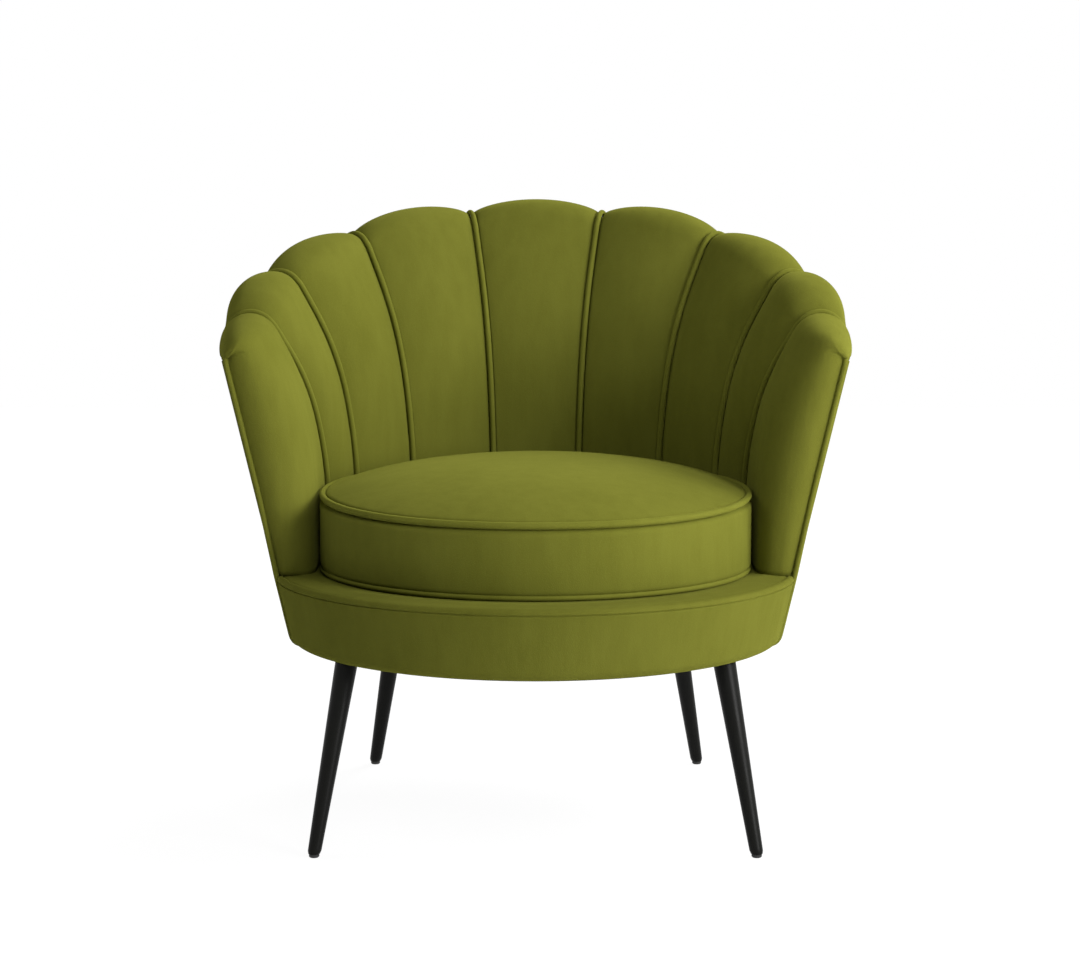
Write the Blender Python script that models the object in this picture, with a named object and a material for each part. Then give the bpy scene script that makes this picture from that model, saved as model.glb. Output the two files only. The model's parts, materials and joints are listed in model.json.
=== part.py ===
"""Scallop-back tub chair: a fluted shell on a round drum, a loose cushion and four splayed legs.

Metres, +Z up. The chair faces -Y and stands on the floor at z = 0, with the origin under the middle
of its bounding box. Left means -X, as seen by someone who stands in front of the chair.

The wall is drawn as an upright section of radius and height. A section is placed round the drum axis
by an angle in degrees: 0 is the middle of the back, +90 the right arm and 180 the front.
"""

import math

import bmesh
import bpy
from mathutils import Vector

# Drum and wall
BASE_Z = 0.225
BASE_RADIUS = 0.307
BASE_EDGE_RADIUS = 0.014
DECK_Z = 0.312
WALL_FLARE = 13.1
WALL_SEAT_THICKNESS = 0.0375
BACK_CREST_Z = 0.7513
SIDE_CREST_Z = 0.6116
CREST_EASE = 0.12
ROLL_RADIUS = 0.0320
LUMBAR_Z = 0.410
INSIDE_LEAN = 30.3
BEND_REACH = 0.4
LIP_DROP = 0.002
ARM_FRONT_ANGLE = 102.0
ARM_FRAME_ANGLE = 89.0

# Flutes: seam angles from the middle of the back, at the seat and at the roll
SEAM_SEAT_ANGLES = (12.2, 35.0, 55.3, 69.9)
SEAM_TOP_ANGLES = (13.6, 40.0, 64.3, 86.0)
CROWN_SEAT = 0.008
CROWN_BACK = 0.014
CROWN_TOPS = (0.020, 0.0225, 0.0245, 0.025)
CROWN_LIP = 0.0
CROWN_POWER = 1.2
ARM_CROWN_SEAT = 0.006
ARM_CROWN_BACK = 0.006
ARM_CROWN_TOP = 0.010
NOSE_POWER = 0.7
PAD_SEAT = 0.012
PAD_BACK = 0.027
PAD_TOP = 0.016
PAD_LIP = 0.005
WELT_RADIUS = 0.0036

# Frame inside the wall and the drum
COVER_THICKNESS = 0.004
COVER_TUCK = 0.009
SKIN_THICKNESS = 0.003
RIB_ANGLES = (-60.0, -24.0, 24.0, 60.0)
RIB_WIDTH = 0.022
ARM_POST_WIDTH = 0.034
RING_THICKNESS = 0.015
BASE_RING_WIDTH = 0.075
SEAT_RING_WIDTH = 0.080
POST_ANGLES = (0.0, 80.0, 180.0, 280.0)
POST_WIDTH = 0.050
POST_DEPTH = 0.032
APRON_BOARD_THICKNESS = 0.004
STRAP_WIDTH = 0.050
STRAP_THICKNESS = 0.002
STRAP_PITCH = 0.105
STRAP_COUNT = 4
STRAP_BEARING = 0.040
DECK_PAD_THICKNESS = 0.015
DECK_RIM_RADIUS = 0.006
ROUND_SHARE = 0.3
DUST_THICKNESS = 0.0010
DUST_MARGIN = 0.004

# Cushion
CUSHION_CLEARANCE = 0.0090
CUSHION_BOTTOM_WELT = 0.006
CUSHION_TOP_WELT = 0.0905
CUSHION_CROWN = 0.050
CUSHION_BULGE = 0.0012
CUSHION_WELT_RADIUS = 0.0042
CUSHION_WELT_PROUD = 0.0012
CUSHION_DOME_POWER = 0.8
ZIP_HALF_ANGLE = 34.0
ZIP_WIDTH = 0.018
ZIP_THICKNESS = 0.0012

# Legs: angle of the leg top round the drum, and how far the foot stands out from the top
LEG_FRONT_ANGLE = 126.6
LEG_REAR_ANGLE = 41.2
LEG_EDGE_INSET = 0.001
LEG_FRONT_SPLAY = (0.0358, 0.0600)
LEG_REAR_SPLAY = (0.0358, 0.0484)
LEG_TOP_RADIUS = 0.0138
LEG_FOOT_RADIUS = 0.0077
LEG_TIP_LENGTH = 0.009
GLIDE_RADIUS = 0.0062
GLIDE_HEIGHT = 0.004
GLIDE_EDGE = 0.0012
BOLT_RADIUS = 0.0040
BOLT_DEPTH_IN_LEG = 0.026
BOLT_TIP = 0.0015

# Clearances
GAP = 0.0005
FRAME_GAP = 0.0009
BOLT_CLEARANCE = 0.0004

# Facets
ARC_STEPS = 7
BEND_STEPS = 5
FLUTE_STEPS = 6
EDGE_STEPS = 3
NOSE_TURNS = (10.0, 24.0, 40.0, 56.0, 72.0, 86.0)
DOME_TURNS = (12.0, 25.0, 40.0, 56.0, 73.0)
ANGLE_STEP = 5.0
ROUND_SIDES = 16
CUSHION_SIDES = 48
SHARP_ANGLE = 40.0

# Sizes that follow from the ones above
FLARE = math.radians(WALL_FLARE)
LEAN = math.radians(INSIDE_LEAN)
COVER_DEPTH = COVER_THICKNESS + GAP
SKIN_DEPTH = FRAME_GAP + SKIN_THICKNESS + GAP
WELT_SEAT = WELT_RADIUS + GAP
FLUTE_FOOT_Z = DECK_Z + GAP
BASE_RING_Z = BASE_Z + COVER_DEPTH
BASE_RING_TOP = BASE_RING_Z + RING_THICKNESS
SEAT_RING_TOP = DECK_Z - DECK_PAD_THICKNESS - STRAP_THICKNESS - 2 * GAP
SEAT_RING_Z = SEAT_RING_TOP - RING_THICKNESS
DUST_TOP = BASE_Z - GAP
LEG_TOP_Z = DUST_TOP - DUST_THICKNESS - GAP
ARC_START = BEND_STEPS + 1
LIP = ARC_START + ARC_STEPS + 1


def outer_radius(z):
    """Radius of the outside of the wall at a height."""
    return BASE_RADIUS + math.tan(FLARE) * (z - BASE_Z)


INNER_RADIUS = outer_radius(DECK_Z) - WALL_SEAT_THICKNESS
WELT_ANGLE = math.degrees(WELT_SEAT / outer_radius(BASE_Z))
FRAME_ANGLE = ARM_FRAME_ANGLE - math.degrees(FRAME_GAP / outer_radius(BASE_Z))
EDGE_CENTRE_Z = BASE_Z + BASE_EDGE_RADIUS
EDGE_CENTRE_R = outer_radius(EDGE_CENTRE_Z) - BASE_EDGE_RADIUS / math.cos(FLARE)
LEG_CIRCLE = EDGE_CENTRE_R - LEG_TOP_RADIUS - LEG_EDGE_INSET


def polar(angle, radius, z):
    """Point at an angle round the drum axis."""
    turn = math.radians(angle)
    return Vector((radius * math.sin(turn), radius * math.cos(turn), z))


def mix(a, b, share):
    return a + (b - a) * share


def between(stations, index):
    """Value at an index, straight between the stations given as (index, value)."""
    for (start, low), (end, high) in zip(stations, stations[1:]):
        if index <= end:
            return mix(low, high, (index - start) / (end - start))
    return stations[-1][1]


def crest_share(angle):
    """Share of the rise from the sides to the back: a cosine that eases to level at the arms."""
    across = math.cos(math.radians(angle))
    return (across + math.hypot(across, CREST_EASE)) / 2


def crest_z(angle):
    """Height of the top line in the valleys between the flutes."""
    return mix(SIDE_CREST_Z, BACK_CREST_Z, crest_share(angle) / crest_share(0))


def roll_centre(angle):
    z = crest_z(angle) - ROLL_RADIUS
    return Vector((outer_radius(z) - ROLL_RADIUS / math.cos(FLARE), z))


def valley_line(angle):
    """Section of the wall in a valley: up the inside, over the roll and down to the tack line."""
    centre = roll_centre(angle)
    first = math.pi - LEAN
    sweep = first + FLARE
    turns = [first - sweep * step / ARC_STEPS for step in range(ARC_STEPS + 1)]
    arc = [centre + ROLL_RADIUS * Vector((math.cos(turn), math.sin(turn))) for turn in turns]
    lumbar = Vector((INNER_RADIUS, LUMBAR_Z))
    reach = BEND_REACH * (arc[0] - lumbar).length
    handle_low = lumbar + Vector((0, reach))
    handle_high = arc[0] - reach * Vector((math.sin(LEAN), math.cos(LEAN)))
    bend = []
    for step in range(BEND_STEPS):
        t = step / BEND_STEPS
        low = mix(mix(lumbar, handle_low, t), mix(handle_low, handle_high, t), t)
        high = mix(mix(handle_low, handle_high, t), mix(handle_high, arc[0], t), t)
        bend.append(mix(low, high, t))
    lip = arc[-1] - LIP_DROP * Vector((math.sin(FLARE), math.cos(FLARE)))
    return [Vector((INNER_RADIUS, FLUTE_FOOT_Z))] + bend + arc + [lip]


def section_point(angle, index, offset):
    """Point of the valley line, moved by an offset towards the side that shows."""
    line = valley_line(angle)
    along = line[min(index + 1, LIP)] - line[max(index - 1, 0)]
    normal = Vector((-along.y, along.x)).normalized()
    return line[index] + offset * normal


def wall_point(angle, index, offset):
    radius, z = section_point(angle, index, offset)
    return polar(angle, radius, z)


def crown(index, rank=0):
    """Height of a flute above its valleys; flutes rank outwards from the middle of the back."""
    middle = 1 + BEND_STEPS // 2
    top = ARC_START + ARC_STEPS // 3
    rising = ((0, CROWN_SEAT), (middle, CROWN_BACK), (ARC_START, CROWN_TOPS[rank]))
    falling = ((top, CROWN_TOPS[rank]), (LIP, CROWN_LIP))
    return between(rising + falling, index)


def arm_crown(index):
    """Height of the arm flutes above their valleys."""
    middle = 1 + BEND_STEPS // 2
    top = ARC_START + ARC_STEPS // 3
    stations = ((0, ARM_CROWN_SEAT), (middle, ARM_CROWN_BACK), (top, ARM_CROWN_TOP), (LIP, CROWN_LIP))
    return between(stations, index)


def pad(index):
    """Stuffing between a valley and the frame."""
    middle = 1 + BEND_STEPS // 2
    return between(((0, PAD_SEAT), (middle, PAD_BACK), (ARC_START, PAD_TOP), (LIP, PAD_LIP)), index)


def seam_angle(seam, index):
    """Angle of a seam, counted 1 to 4 outwards from the middle; negative on the left."""
    side = math.copysign(1, seam)
    number = abs(seam) - 1
    share = min(max(index - 1, 0) / (ARC_START - 1), 1)
    return side * mix(SEAM_SEAT_ANGLES[number], SEAM_TOP_ANGLES[number], share)


def angle_steps(start, end, step=ANGLE_STEP):
    count = max(2, round(abs(end - start) / step))
    return [mix(start, end, number / count) for number in range(count + 1)]


BACK_REACH = max(section_point(0, index, crown(index)).x for index in range(LIP + 1))
DRUM_Y = (outer_radius(DECK_Z) - BACK_REACH) / 2


# Objects and materials
def clear_scene():
    for item in list(bpy.data.objects):
        bpy.data.objects.remove(item, do_unlink=True)


def make_material(name, colour, roughness, metallic=0.0):
    material = bpy.data.materials.new(name)
    material.use_nodes = True
    shader = material.node_tree.nodes["Principled BSDF"]
    shader.inputs["Base Color"].default_value = (*colour, 1.0)
    shader.inputs["Roughness"].default_value = roughness
    shader.inputs["Metallic"].default_value = metallic
    return material


def make_empty(name, location, parent=None):
    empty = bpy.data.objects.new(name, None)
    empty.location = location
    empty.parent = parent
    bpy.context.scene.collection.objects.link(empty)
    return empty


def add_object(name, bm, material, parent):
    """Turn a bmesh into an object with outward faces, shaded smooth up to its sharp edges."""
    bmesh.ops.recalc_face_normals(bm, faces=bm.faces)
    mesh = bpy.data.meshes.new(name)
    bm.to_mesh(mesh)
    bm.free()
    mesh.shade_smooth()
    mesh.set_sharp_from_angle(angle=math.radians(SHARP_ANGLE))
    item = bpy.data.objects.new(name, mesh)
    item.parent = parent
    bpy.context.scene.collection.objects.link(item)
    if material:
        mesh.materials.append(material)
    return item


def bridge(bm, near, far):
    """Quads between two closed rings of equal count."""
    for number, corner in enumerate(near):
        after = (number + 1) % len(near)
        bm.faces.new((corner, near[after], far[after], far[number]))


def close_ladder(bm, ring):
    """End face of a ring that runs along a front line and back along one with as many points."""
    count = len(ring)
    for low in range(count // 2 - 1):
        bm.faces.new((ring[low], ring[low + 1], ring[count - 2 - low], ring[count - 1 - low]))


def loft(sections, closed=False, laddered=False):
    """Skin closed sections of equal count, with end faces unless the row of sections closes."""
    bm = bmesh.new()
    rings = [[bm.verts.new(point) for point in section] for section in sections]
    for near, far in zip(rings, rings[1:]):
        bridge(bm, near, far)
    if closed:
        bridge(bm, rings[-1], rings[0])
        return bm
    for ring in (rings[0], rings[-1]):
        if laddered:
            close_ladder(bm, ring)
        else:
            bm.faces.new(ring)
    return bm


def turn(profile, sides):
    """Turned solid from a profile of (radius, z) whose first and last points lie on the axis."""
    bm = bmesh.new()
    bottom = bm.verts.new((0, 0, profile[0][1]))
    top = bm.verts.new((0, 0, profile[-1][1]))
    angles = [360.0 * side / sides for side in range(sides)]
    rings = [[bm.verts.new(polar(angle, *point)) for angle in angles] for point in profile[1:-1]]
    for side in range(sides):
        after = (side + 1) % sides
        bm.faces.new((bottom, rings[0][side], rings[0][after]))
        bm.faces.new((top, rings[-1][side], rings[-1][after]))
        for low, high in zip(rings, rings[1:]):
            bm.faces.new((low[side], low[after], high[after], high[side]))
    return bm


def tube(name, points, material, parent, radius=WELT_RADIUS, cyclic=False):
    """Piping: a curve with a round bevel and filled ends."""
    curve = bpy.data.curves.new(name, "CURVE")
    curve.dimensions = "3D"
    curve.bevel_depth = radius
    curve.bevel_resolution = 1
    curve.use_fill_caps = True
    spline = curve.splines.new("POLY")
    spline.points.add(len(points) - 1)
    for target, point in zip(spline.points, points):
        target.co = (*point, 1.0)
    spline.use_cyclic_u = cyclic
    curve.materials.append(material)
    item = bpy.data.objects.new(name, curve)
    item.parent = parent
    bpy.context.scene.collection.objects.link(item)
    return item


def make_cutter(name, bm, parent):
    cutter = add_object(name, bm, None, parent)
    cutter.hide_render = True
    cutter.display_type = "WIRE"
    return cutter


def cut(item, cutter):
    modifier = item.modifiers.new("cut_" + cutter.name, "BOOLEAN")
    modifier.operation = "DIFFERENCE"
    modifier.solver = "EXACT"
    modifier.object = cutter


def cylinder(centre, radius, low, high, sides=ROUND_SIDES):
    """Upright cylinder as a bmesh."""
    heights = (low, high)
    angles = [360.0 * side / sides for side in range(sides)]
    return loft([[centre + polar(angle, radius, z) for angle in angles] for z in heights])


# Flutes and their piping
def flute_columns(left, right, index):
    """Angles across a flute at one height of the wall, with the rise of its crown at each."""
    radius = section_point(mix(left, right, 0.5), index, 0).x
    slit = math.degrees(GAP / 2 / radius)
    seat = math.degrees(WELT_SEAT / radius)
    columns = [(left + slit, 0.0)]
    for step in range(FLUTE_STEPS + 1):
        phase = math.pi * step / FLUTE_STEPS
        share = (1 - math.cos(phase)) / 2
        columns.append((mix(left + seat, right - seat, share), max(math.sin(phase), 0.0) ** CROWN_POWER))
    columns.append((right - slit, 0.0))
    return columns


def make_flute(number, left_seam, right_seam, material, parent):
    """One stuffed channel: from the deck up the inside of the wall and over the roll to the tack line."""
    last = FLUTE_STEPS + 2
    rank = min(abs(left_seam), abs(right_seam)) if left_seam * right_seam > 0 else 0
    sections = []
    for column in range(last + 1):
        shown = []
        core = []
        for index in range(LIP + 1):
            columns = flute_columns(seam_angle(left_seam, index), seam_angle(right_seam, index), index)
            angle, rise = columns[column]
            shown.append(wall_point(angle, index, crown(index, rank) * rise))
            back_angle = mix(columns[0][0], columns[-1][0], column / last)
            core.append(wall_point(back_angle, index, -pad(index)))
        sections.append(shown + core[::-1])
    return add_object(f"flute_{number}", loft(sections, laddered=True), material, parent)


def nose_line(angle):
    """Back of the stuffed arm end, inside the outside cover, from the tack line down to the deck."""
    tack = section_point(angle, LIP, -PAD_LIP)
    line = [tack]
    for step in range(1, EDGE_STEPS + 1):
        z = mix(tack.y, FLUTE_FOOT_Z, step / EDGE_STEPS)
        line.append(Vector((outer_radius(z) - PAD_LIP / math.cos(FLARE), z)))
    return line


def nose_section(angle, share):
    """Section of the arm end: the visible line, drawn in by a share to the back line, and that line."""
    back = nose_line(angle)
    foot = back[-1]
    shown = [section_point(angle, index, arm_crown(index)) for index in range(LIP + 1)]
    shoulder = shown[ARC_START].y
    drawn = []
    for index, point in enumerate(shown):
        rise = min((point.y - foot.y) / (shoulder - foot.y), 1) if index < ARC_START else 1
        drawn.append(mix(mix(foot, back[0], rise), point, share))
    foot_share = (PAD_SEAT + ARM_CROWN_SEAT) / (WALL_SEAT_THICKNESS + ARM_CROWN_SEAT)
    sole = mix(drawn[0], foot, foot_share)
    return [polar(angle, *point) for point in drawn + back + [sole]]


def make_arm_flute(number, side, material, parent):
    """The end channel: a half flute over the arm, and a stuffed end that rounds off to the edge piping."""
    bm = bmesh.new()
    last = FLUTE_STEPS // 2 + 1
    hooks = []
    for column in range(last + 1):
        phase = math.pi * max(column - 1, 0) / FLUTE_STEPS
        shown = []
        core = []
        for index in range(LIP + 1):
            seam = seam_angle(len(SEAM_SEAT_ANGLES), index)
            radius = section_point(seam, index, 0).x
            slit = seam + math.degrees(GAP / 2 / radius)
            seat = seam + math.degrees(WELT_SEAT / radius)
            angle = mix(seat, ARM_FRAME_ANGLE, 1 - math.cos(phase)) if column else slit
            back_angle = mix(slit, ARM_FRAME_ANGLE, column / last)
            rise = arm_crown(index) * math.sin(phase) ** CROWN_POWER
            shown.append(bm.verts.new(wall_point(side * angle, index, rise)))
            core.append(bm.verts.new(wall_point(side * back_angle, index, -pad(index))))
        hooks.append(shown + core[::-1])
    for near, far in zip(hooks, hooks[1:]):
        bridge(bm, near, far)
    close_ladder(bm, hooks[0])
    edge = nose_line(ARM_FRAME_ANGLE)[1:]
    back = [bm.verts.new(polar(side * ARM_FRAME_ANGLE, *point)) for point in edge]
    bm.faces.new(core + back)
    ring = shown + [core[LIP]] + back + [core[0]]
    for turned in NOSE_TURNS:
        phase = math.radians(turned)
        swung = math.sin(phase) ** NOSE_POWER
        angle = side * mix(ARM_FRAME_ANGLE, ARM_FRONT_ANGLE - WELT_ANGLE, swung)
        after = [bm.verts.new(point) for point in nose_section(angle, math.cos(phase) ** NOSE_POWER)]
        bridge(bm, ring, after)
        ring = after
    bm.faces.new(ring)
    return add_object(f"flute_{number}", bm, material, parent)


def make_flute_welt(number, seam, material, parent):
    points = [wall_point(seam_angle(seam, index), index, WELT_SEAT) for index in range(LIP + 1)]
    return tube(f"flute_welt_{number}", points, material, parent)


def make_flutes(velvet, piping, parent):
    count = len(SEAM_SEAT_ANGLES)
    seams = list(range(-count, 0)) + list(range(1, count + 1))
    make_arm_flute(1, -1, velvet, parent)
    for number, (left, right) in enumerate(zip(seams, seams[1:]), start=2):
        make_flute(number, left, right, velvet, parent)
    make_arm_flute(len(seams) + 1, 1, velvet, parent)
    for number, seam in enumerate(seams, start=1):
        make_flute_welt(number, seam, piping, parent)


# Covers on the outside of the wall and the drum
def cover_section(angle, top_z):
    """Strip that tucks under the drum, turns its edge and rises up the outside to a top edge."""
    outer = [Vector((EDGE_CENTRE_R - COVER_TUCK, BASE_Z))]
    inner = [Vector((EDGE_CENTRE_R - COVER_TUCK, BASE_Z + COVER_THICKNESS))]
    centre = Vector((EDGE_CENTRE_R, EDGE_CENTRE_Z))
    for step in range(EDGE_STEPS + 1):
        turned = mix(-math.pi / 2, -FLARE, step / EDGE_STEPS)
        direction = Vector((math.cos(turned), math.sin(turned)))
        outer.append(centre + BASE_EDGE_RADIUS * direction)
        inner.append(centre + (BASE_EDGE_RADIUS - COVER_THICKNESS) * direction)
    outer.append(Vector((outer_radius(top_z), top_z)))
    inner.append(Vector((outer_radius(top_z) - COVER_THICKNESS / math.cos(FLARE), top_z)))
    return [polar(angle, *point) for point in outer + inner[::-1]]


def tack_z(angle):
    """Height of the piping between the flutes and the outside back."""
    return section_point(angle, LIP, 0).y - WELT_SEAT * math.cos(FLARE)


def make_outside_back(material, parent):
    limit = ARM_FRONT_ANGLE - WELT_ANGLE
    sections = []
    for angle in angle_steps(-limit, limit):
        sections.append(cover_section(angle, tack_z(angle) - WELT_SEAT * math.cos(FLARE)))
    add_object("outside_back", loft(sections, laddered=True), material, parent)


def make_apron_cover(material, parent):
    limit = ARM_FRONT_ANGLE + WELT_ANGLE
    sections = [cover_section(angle, DECK_Z) for angle in angle_steps(limit, 360 - limit)]
    add_object("apron_cover", loft(sections, laddered=True), material, parent)


def make_edge_welt(material, parent):
    """One length of piping: up an arm front, round the top of the outside back and down the other arm."""
    rise = [mix(EDGE_CENTRE_Z, tack_z(ARM_FRONT_ANGLE), step / EDGE_STEPS) for step in range(EDGE_STEPS)]
    right = [polar(ARM_FRONT_ANGLE, outer_radius(z), z) for z in rise]
    top = []
    for angle in angle_steps(ARM_FRONT_ANGLE, -ARM_FRONT_ANGLE):
        z = tack_z(angle)
        top.append(polar(angle, outer_radius(z), z))
    left = [polar(-ARM_FRONT_ANGLE, outer_radius(z), z) for z in reversed(rise)]
    tube("edge_welt", right + top + left, material, parent)


# Frame of the wall
def skin_section(angle):
    """Section of the bent inner board, from the seat ring up to the top rail."""
    rows = range(ARC_START)
    front = [section_point(angle, index, -pad(index) - FRAME_GAP) for index in rows]
    back = [section_point(angle, index, -pad(index) - FRAME_GAP - SKIN_THICKNESS) for index in rows]
    foot_z = SEAT_RING_TOP + GAP
    front.insert(0, Vector((front[0].x, foot_z)))
    back.insert(0, Vector((back[0].x, foot_z)))
    return [polar(angle, *point) for point in front + back[::-1]]


def frame_line(angle):
    """Back of the inner board with its clearance: the front edge of the ribs."""
    line = [section_point(angle, index, -pad(index) - SKIN_DEPTH) for index in range(ARC_START)]
    return [Vector((line[0].x, SEAT_RING_TOP + GAP))] + line


def frame_back(z):
    """Radius of the back of the frame, inside the outside cover."""
    return outer_radius(z) - COVER_DEPTH / math.cos(FLARE)


def rail_section(angle):
    """Section of the bent top rail under the roll."""
    line = frame_line(angle)
    rows = range(ARC_START, LIP + 1)
    top = [section_point(angle, index, -pad(index) - FRAME_GAP) for index in rows]
    foot_z = line[-2].y
    outer = Vector((min(frame_back(foot_z), top[-1].x), foot_z))
    return [polar(angle, *point) for point in line[-2:] + top + [outer]]


def rib_section(angle):
    """Section of a shaped rib between the seat ring and the top rail."""
    line = frame_line(angle)
    low, high = line[-3], line[-2]
    top_z = high.y - GAP
    front = line[:-2] + [Vector((mix(low.x, high.x, (top_z - low.y) / (high.y - low.y)), top_z))]
    foot_z = line[0].y
    back = [Vector((frame_back(top_z), top_z)), Vector((frame_back(foot_z), foot_z))]
    return [polar(angle, *point) for point in front + back]


def make_rib(name, start, end, material, parent):
    sections = [rib_section(angle) for angle in (start, mix(start, end, 0.5), end)]
    add_object(name, loft(sections), material, parent)


def make_wall_frame(plywood, timber, parent):
    angles = angle_steps(-FRAME_ANGLE, FRAME_ANGLE)
    add_object("back_skin", loft([skin_section(angle) for angle in angles], laddered=True), plywood, parent)
    add_object("top_rail", loft([rail_section(angle) for angle in angles]), timber, parent)
    half = math.degrees(RIB_WIDTH / 2 / frame_back(DECK_Z))
    for number, angle in enumerate(RIB_ANGLES, start=1):
        make_rib(f"back_rib_{number}", angle - half, angle + half, timber, parent)
    width = math.degrees(ARM_POST_WIDTH / frame_back(DECK_Z))
    make_rib("arm_post_left", -FRAME_ANGLE, -FRAME_ANGLE + width, timber, parent)
    make_rib("arm_post_right", FRAME_ANGLE - width, FRAME_ANGLE, timber, parent)


# Frame of the drum
def full_turn():
    return angle_steps(-180, 180, 2 * ANGLE_STEP)[:-1]


def leg_places():
    """Name, centre of the leg top and splay of the four legs, relative to the drum axis."""
    places = []
    front = ("front", LEG_FRONT_ANGLE, LEG_FRONT_SPLAY)
    rear = ("rear", LEG_REAR_ANGLE, LEG_REAR_SPLAY)
    for row, angle, splay in (front, rear):
        for name, side in (("left", -1), ("right", 1)):
            top = polar(side * angle, LEG_CIRCLE, LEG_TOP_Z)
            out = Vector((side * splay[0], math.copysign(splay[1], top.y), 0))
            places.append((f"{row}_{name}", top, out))
    return places


def make_base_ring(material, parent):
    radius = BASE_EDGE_RADIUS - COVER_DEPTH
    centre = Vector((EDGE_CENTRE_R, EDGE_CENTRE_Z))
    line = [Vector((EDGE_CENTRE_R - BASE_RING_WIDTH, BASE_RING_Z))]
    for step in range(EDGE_STEPS + 1):
        turned = mix(-math.pi / 2, -FLARE, step / EDGE_STEPS)
        line.append(centre + radius * Vector((math.cos(turned), math.sin(turned))))
    line.append(Vector((frame_back(BASE_RING_TOP), BASE_RING_TOP)))
    line.append(Vector((EDGE_CENTRE_R - BASE_RING_WIDTH, BASE_RING_TOP)))
    sections = [[polar(angle, *point) for point in line] for angle in full_turn()]
    ring = add_object("base_ring", loft(sections, closed=True), material, parent)
    margin = RING_THICKNESS
    for name, top, _ in leg_places():
        hole = cylinder(Vector((top.x, top.y, 0)), BOLT_RADIUS + BOLT_CLEARANCE,
                        BASE_RING_Z - margin, BASE_RING_TOP + margin)
        cut(ring, make_cutter(f"ring_hole_{name}", hole, parent))


def make_seat_ring(material, parent):
    outer_low = frame_back(SEAT_RING_Z)
    outer_high = frame_back(SEAT_RING_TOP)
    inner = outer_low - SEAT_RING_WIDTH
    line = [(inner, SEAT_RING_Z), (outer_low, SEAT_RING_Z)]
    line += [(outer_high, SEAT_RING_TOP), (inner, SEAT_RING_TOP)]
    sections = [[polar(angle, *point) for point in line] for angle in full_turn()]
    add_object("seat_ring", loft(sections, closed=True), material, parent)


def make_drum_posts(material, parent):
    """Blocks that space the two rings."""
    low = BASE_RING_TOP + GAP
    high = SEAT_RING_Z - GAP
    reach = frame_back(low) - APRON_BOARD_THICKNESS - 2 * GAP
    outer = math.sqrt(reach ** 2 - (POST_WIDTH / 2) ** 2)
    for number, angle in enumerate(POST_ANGLES, start=1):
        sections = []
        for z in (low, high):
            corners = ((-1, outer - POST_DEPTH), (1, outer - POST_DEPTH), (1, outer), (-1, outer))
            sections.append([Vector((side * POST_WIDTH / 2, y, z)) for side, y in corners])
        post = add_object(f"base_post_{number}", loft(sections), material, parent)
        post.rotation_euler.z = -math.radians(angle)


def make_apron_board(material, parent):
    """Bent board that closes the front of the drum between the two rings."""
    low = BASE_RING_TOP + GAP
    high = SEAT_RING_Z - GAP
    sections = []
    for angle in angle_steps(ARM_FRONT_ANGLE + WELT_ANGLE, 360 - ARM_FRONT_ANGLE - WELT_ANGLE):
        outer = [(frame_back(z), z) for z in (low, high)]
        inner = [(frame_back(z) - APRON_BOARD_THICKNESS, z) for z in (high, low)]
        sections.append([polar(angle, *point) for point in outer + inner])
    add_object("apron_board", loft(sections), material, parent)


def make_straps(material, parent):
    """Elastic webbing from side to side over the seat ring."""
    bearing = frame_back(SEAT_RING_Z) - SEAT_RING_WIDTH + STRAP_BEARING
    low = SEAT_RING_TOP + GAP
    for number in range(STRAP_COUNT):
        y = (number - (STRAP_COUNT - 1) / 2) * STRAP_PITCH
        far = abs(y) + STRAP_WIDTH / 2
        half = math.sqrt(bearing ** 2 - far ** 2)
        corners = ((-half, y - STRAP_WIDTH / 2), (half, y - STRAP_WIDTH / 2),
                   (half, y + STRAP_WIDTH / 2), (-half, y + STRAP_WIDTH / 2))
        sections = [[Vector((*corner, z)) for corner in corners] for z in (low, low + STRAP_THICKNESS)]
        add_object(f"webbing_strap_{number + 1}", loft(sections), material, parent)


def make_deck_pad(material, parent):
    """Padded deck: inside the wall at the back, out to the apron's top edge at the front."""
    bottom = DECK_Z - DECK_PAD_THICKNESS
    shoulder = DECK_Z - DECK_RIM_RADIUS
    corner = ROUND_SHARE * DECK_RIM_RADIUS
    back = INNER_RADIUS + PAD_SEAT
    front_angle = ARM_FRONT_ANGLE + 2 * WELT_ANGLE
    edge = [(angle, back) for angle in angle_steps(-front_angle, front_angle)]
    edge += [(angle, None) for angle in angle_steps(front_angle, 360 - front_angle)]
    bm = bmesh.new()
    middle_low = bm.verts.new((0, 0, bottom))
    middle_high = bm.verts.new((0, 0, DECK_Z))
    rings = []
    for angle, radius in edge:
        wide = radius or frame_back(shoulder)
        narrow = radius or frame_back(bottom)
        rim = ((narrow, bottom), (wide, shoulder), (wide - corner, DECK_Z - corner),
               (wide - DECK_RIM_RADIUS, DECK_Z))
        rings.append([bm.verts.new(polar(angle, *point)) for point in rim])
    for near, far in zip(rings, rings[1:] + rings[:1]):
        bm.faces.new((middle_low, near[0], far[0]))
        bm.faces.new((middle_high, near[-1], far[-1]))
        for row in range(len(near) - 1):
            bm.faces.new((near[row], near[row + 1], far[row + 1], far[row]))
    add_object("deck_pad", bm, material, parent)


def make_dust_cover(material, parent):
    """Cloth under the drum, with a hole for each leg bolt."""
    radius = EDGE_CENTRE_R - DUST_MARGIN
    low = DUST_TOP - DUST_THICKNESS
    sections = [[polar(angle, radius, z) for angle in full_turn()] for z in (low, DUST_TOP)]
    cloth = add_object("dust_cover", loft(sections), material, parent)
    for name, top, _ in leg_places():
        hole = cylinder(Vector((top.x, top.y, 0)), BOLT_RADIUS + BOLT_CLEARANCE,
                        low - DUST_MARGIN, DUST_TOP + DUST_MARGIN)
        cut(cloth, make_cutter(f"dust_hole_{name}", hole, parent))


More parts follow.
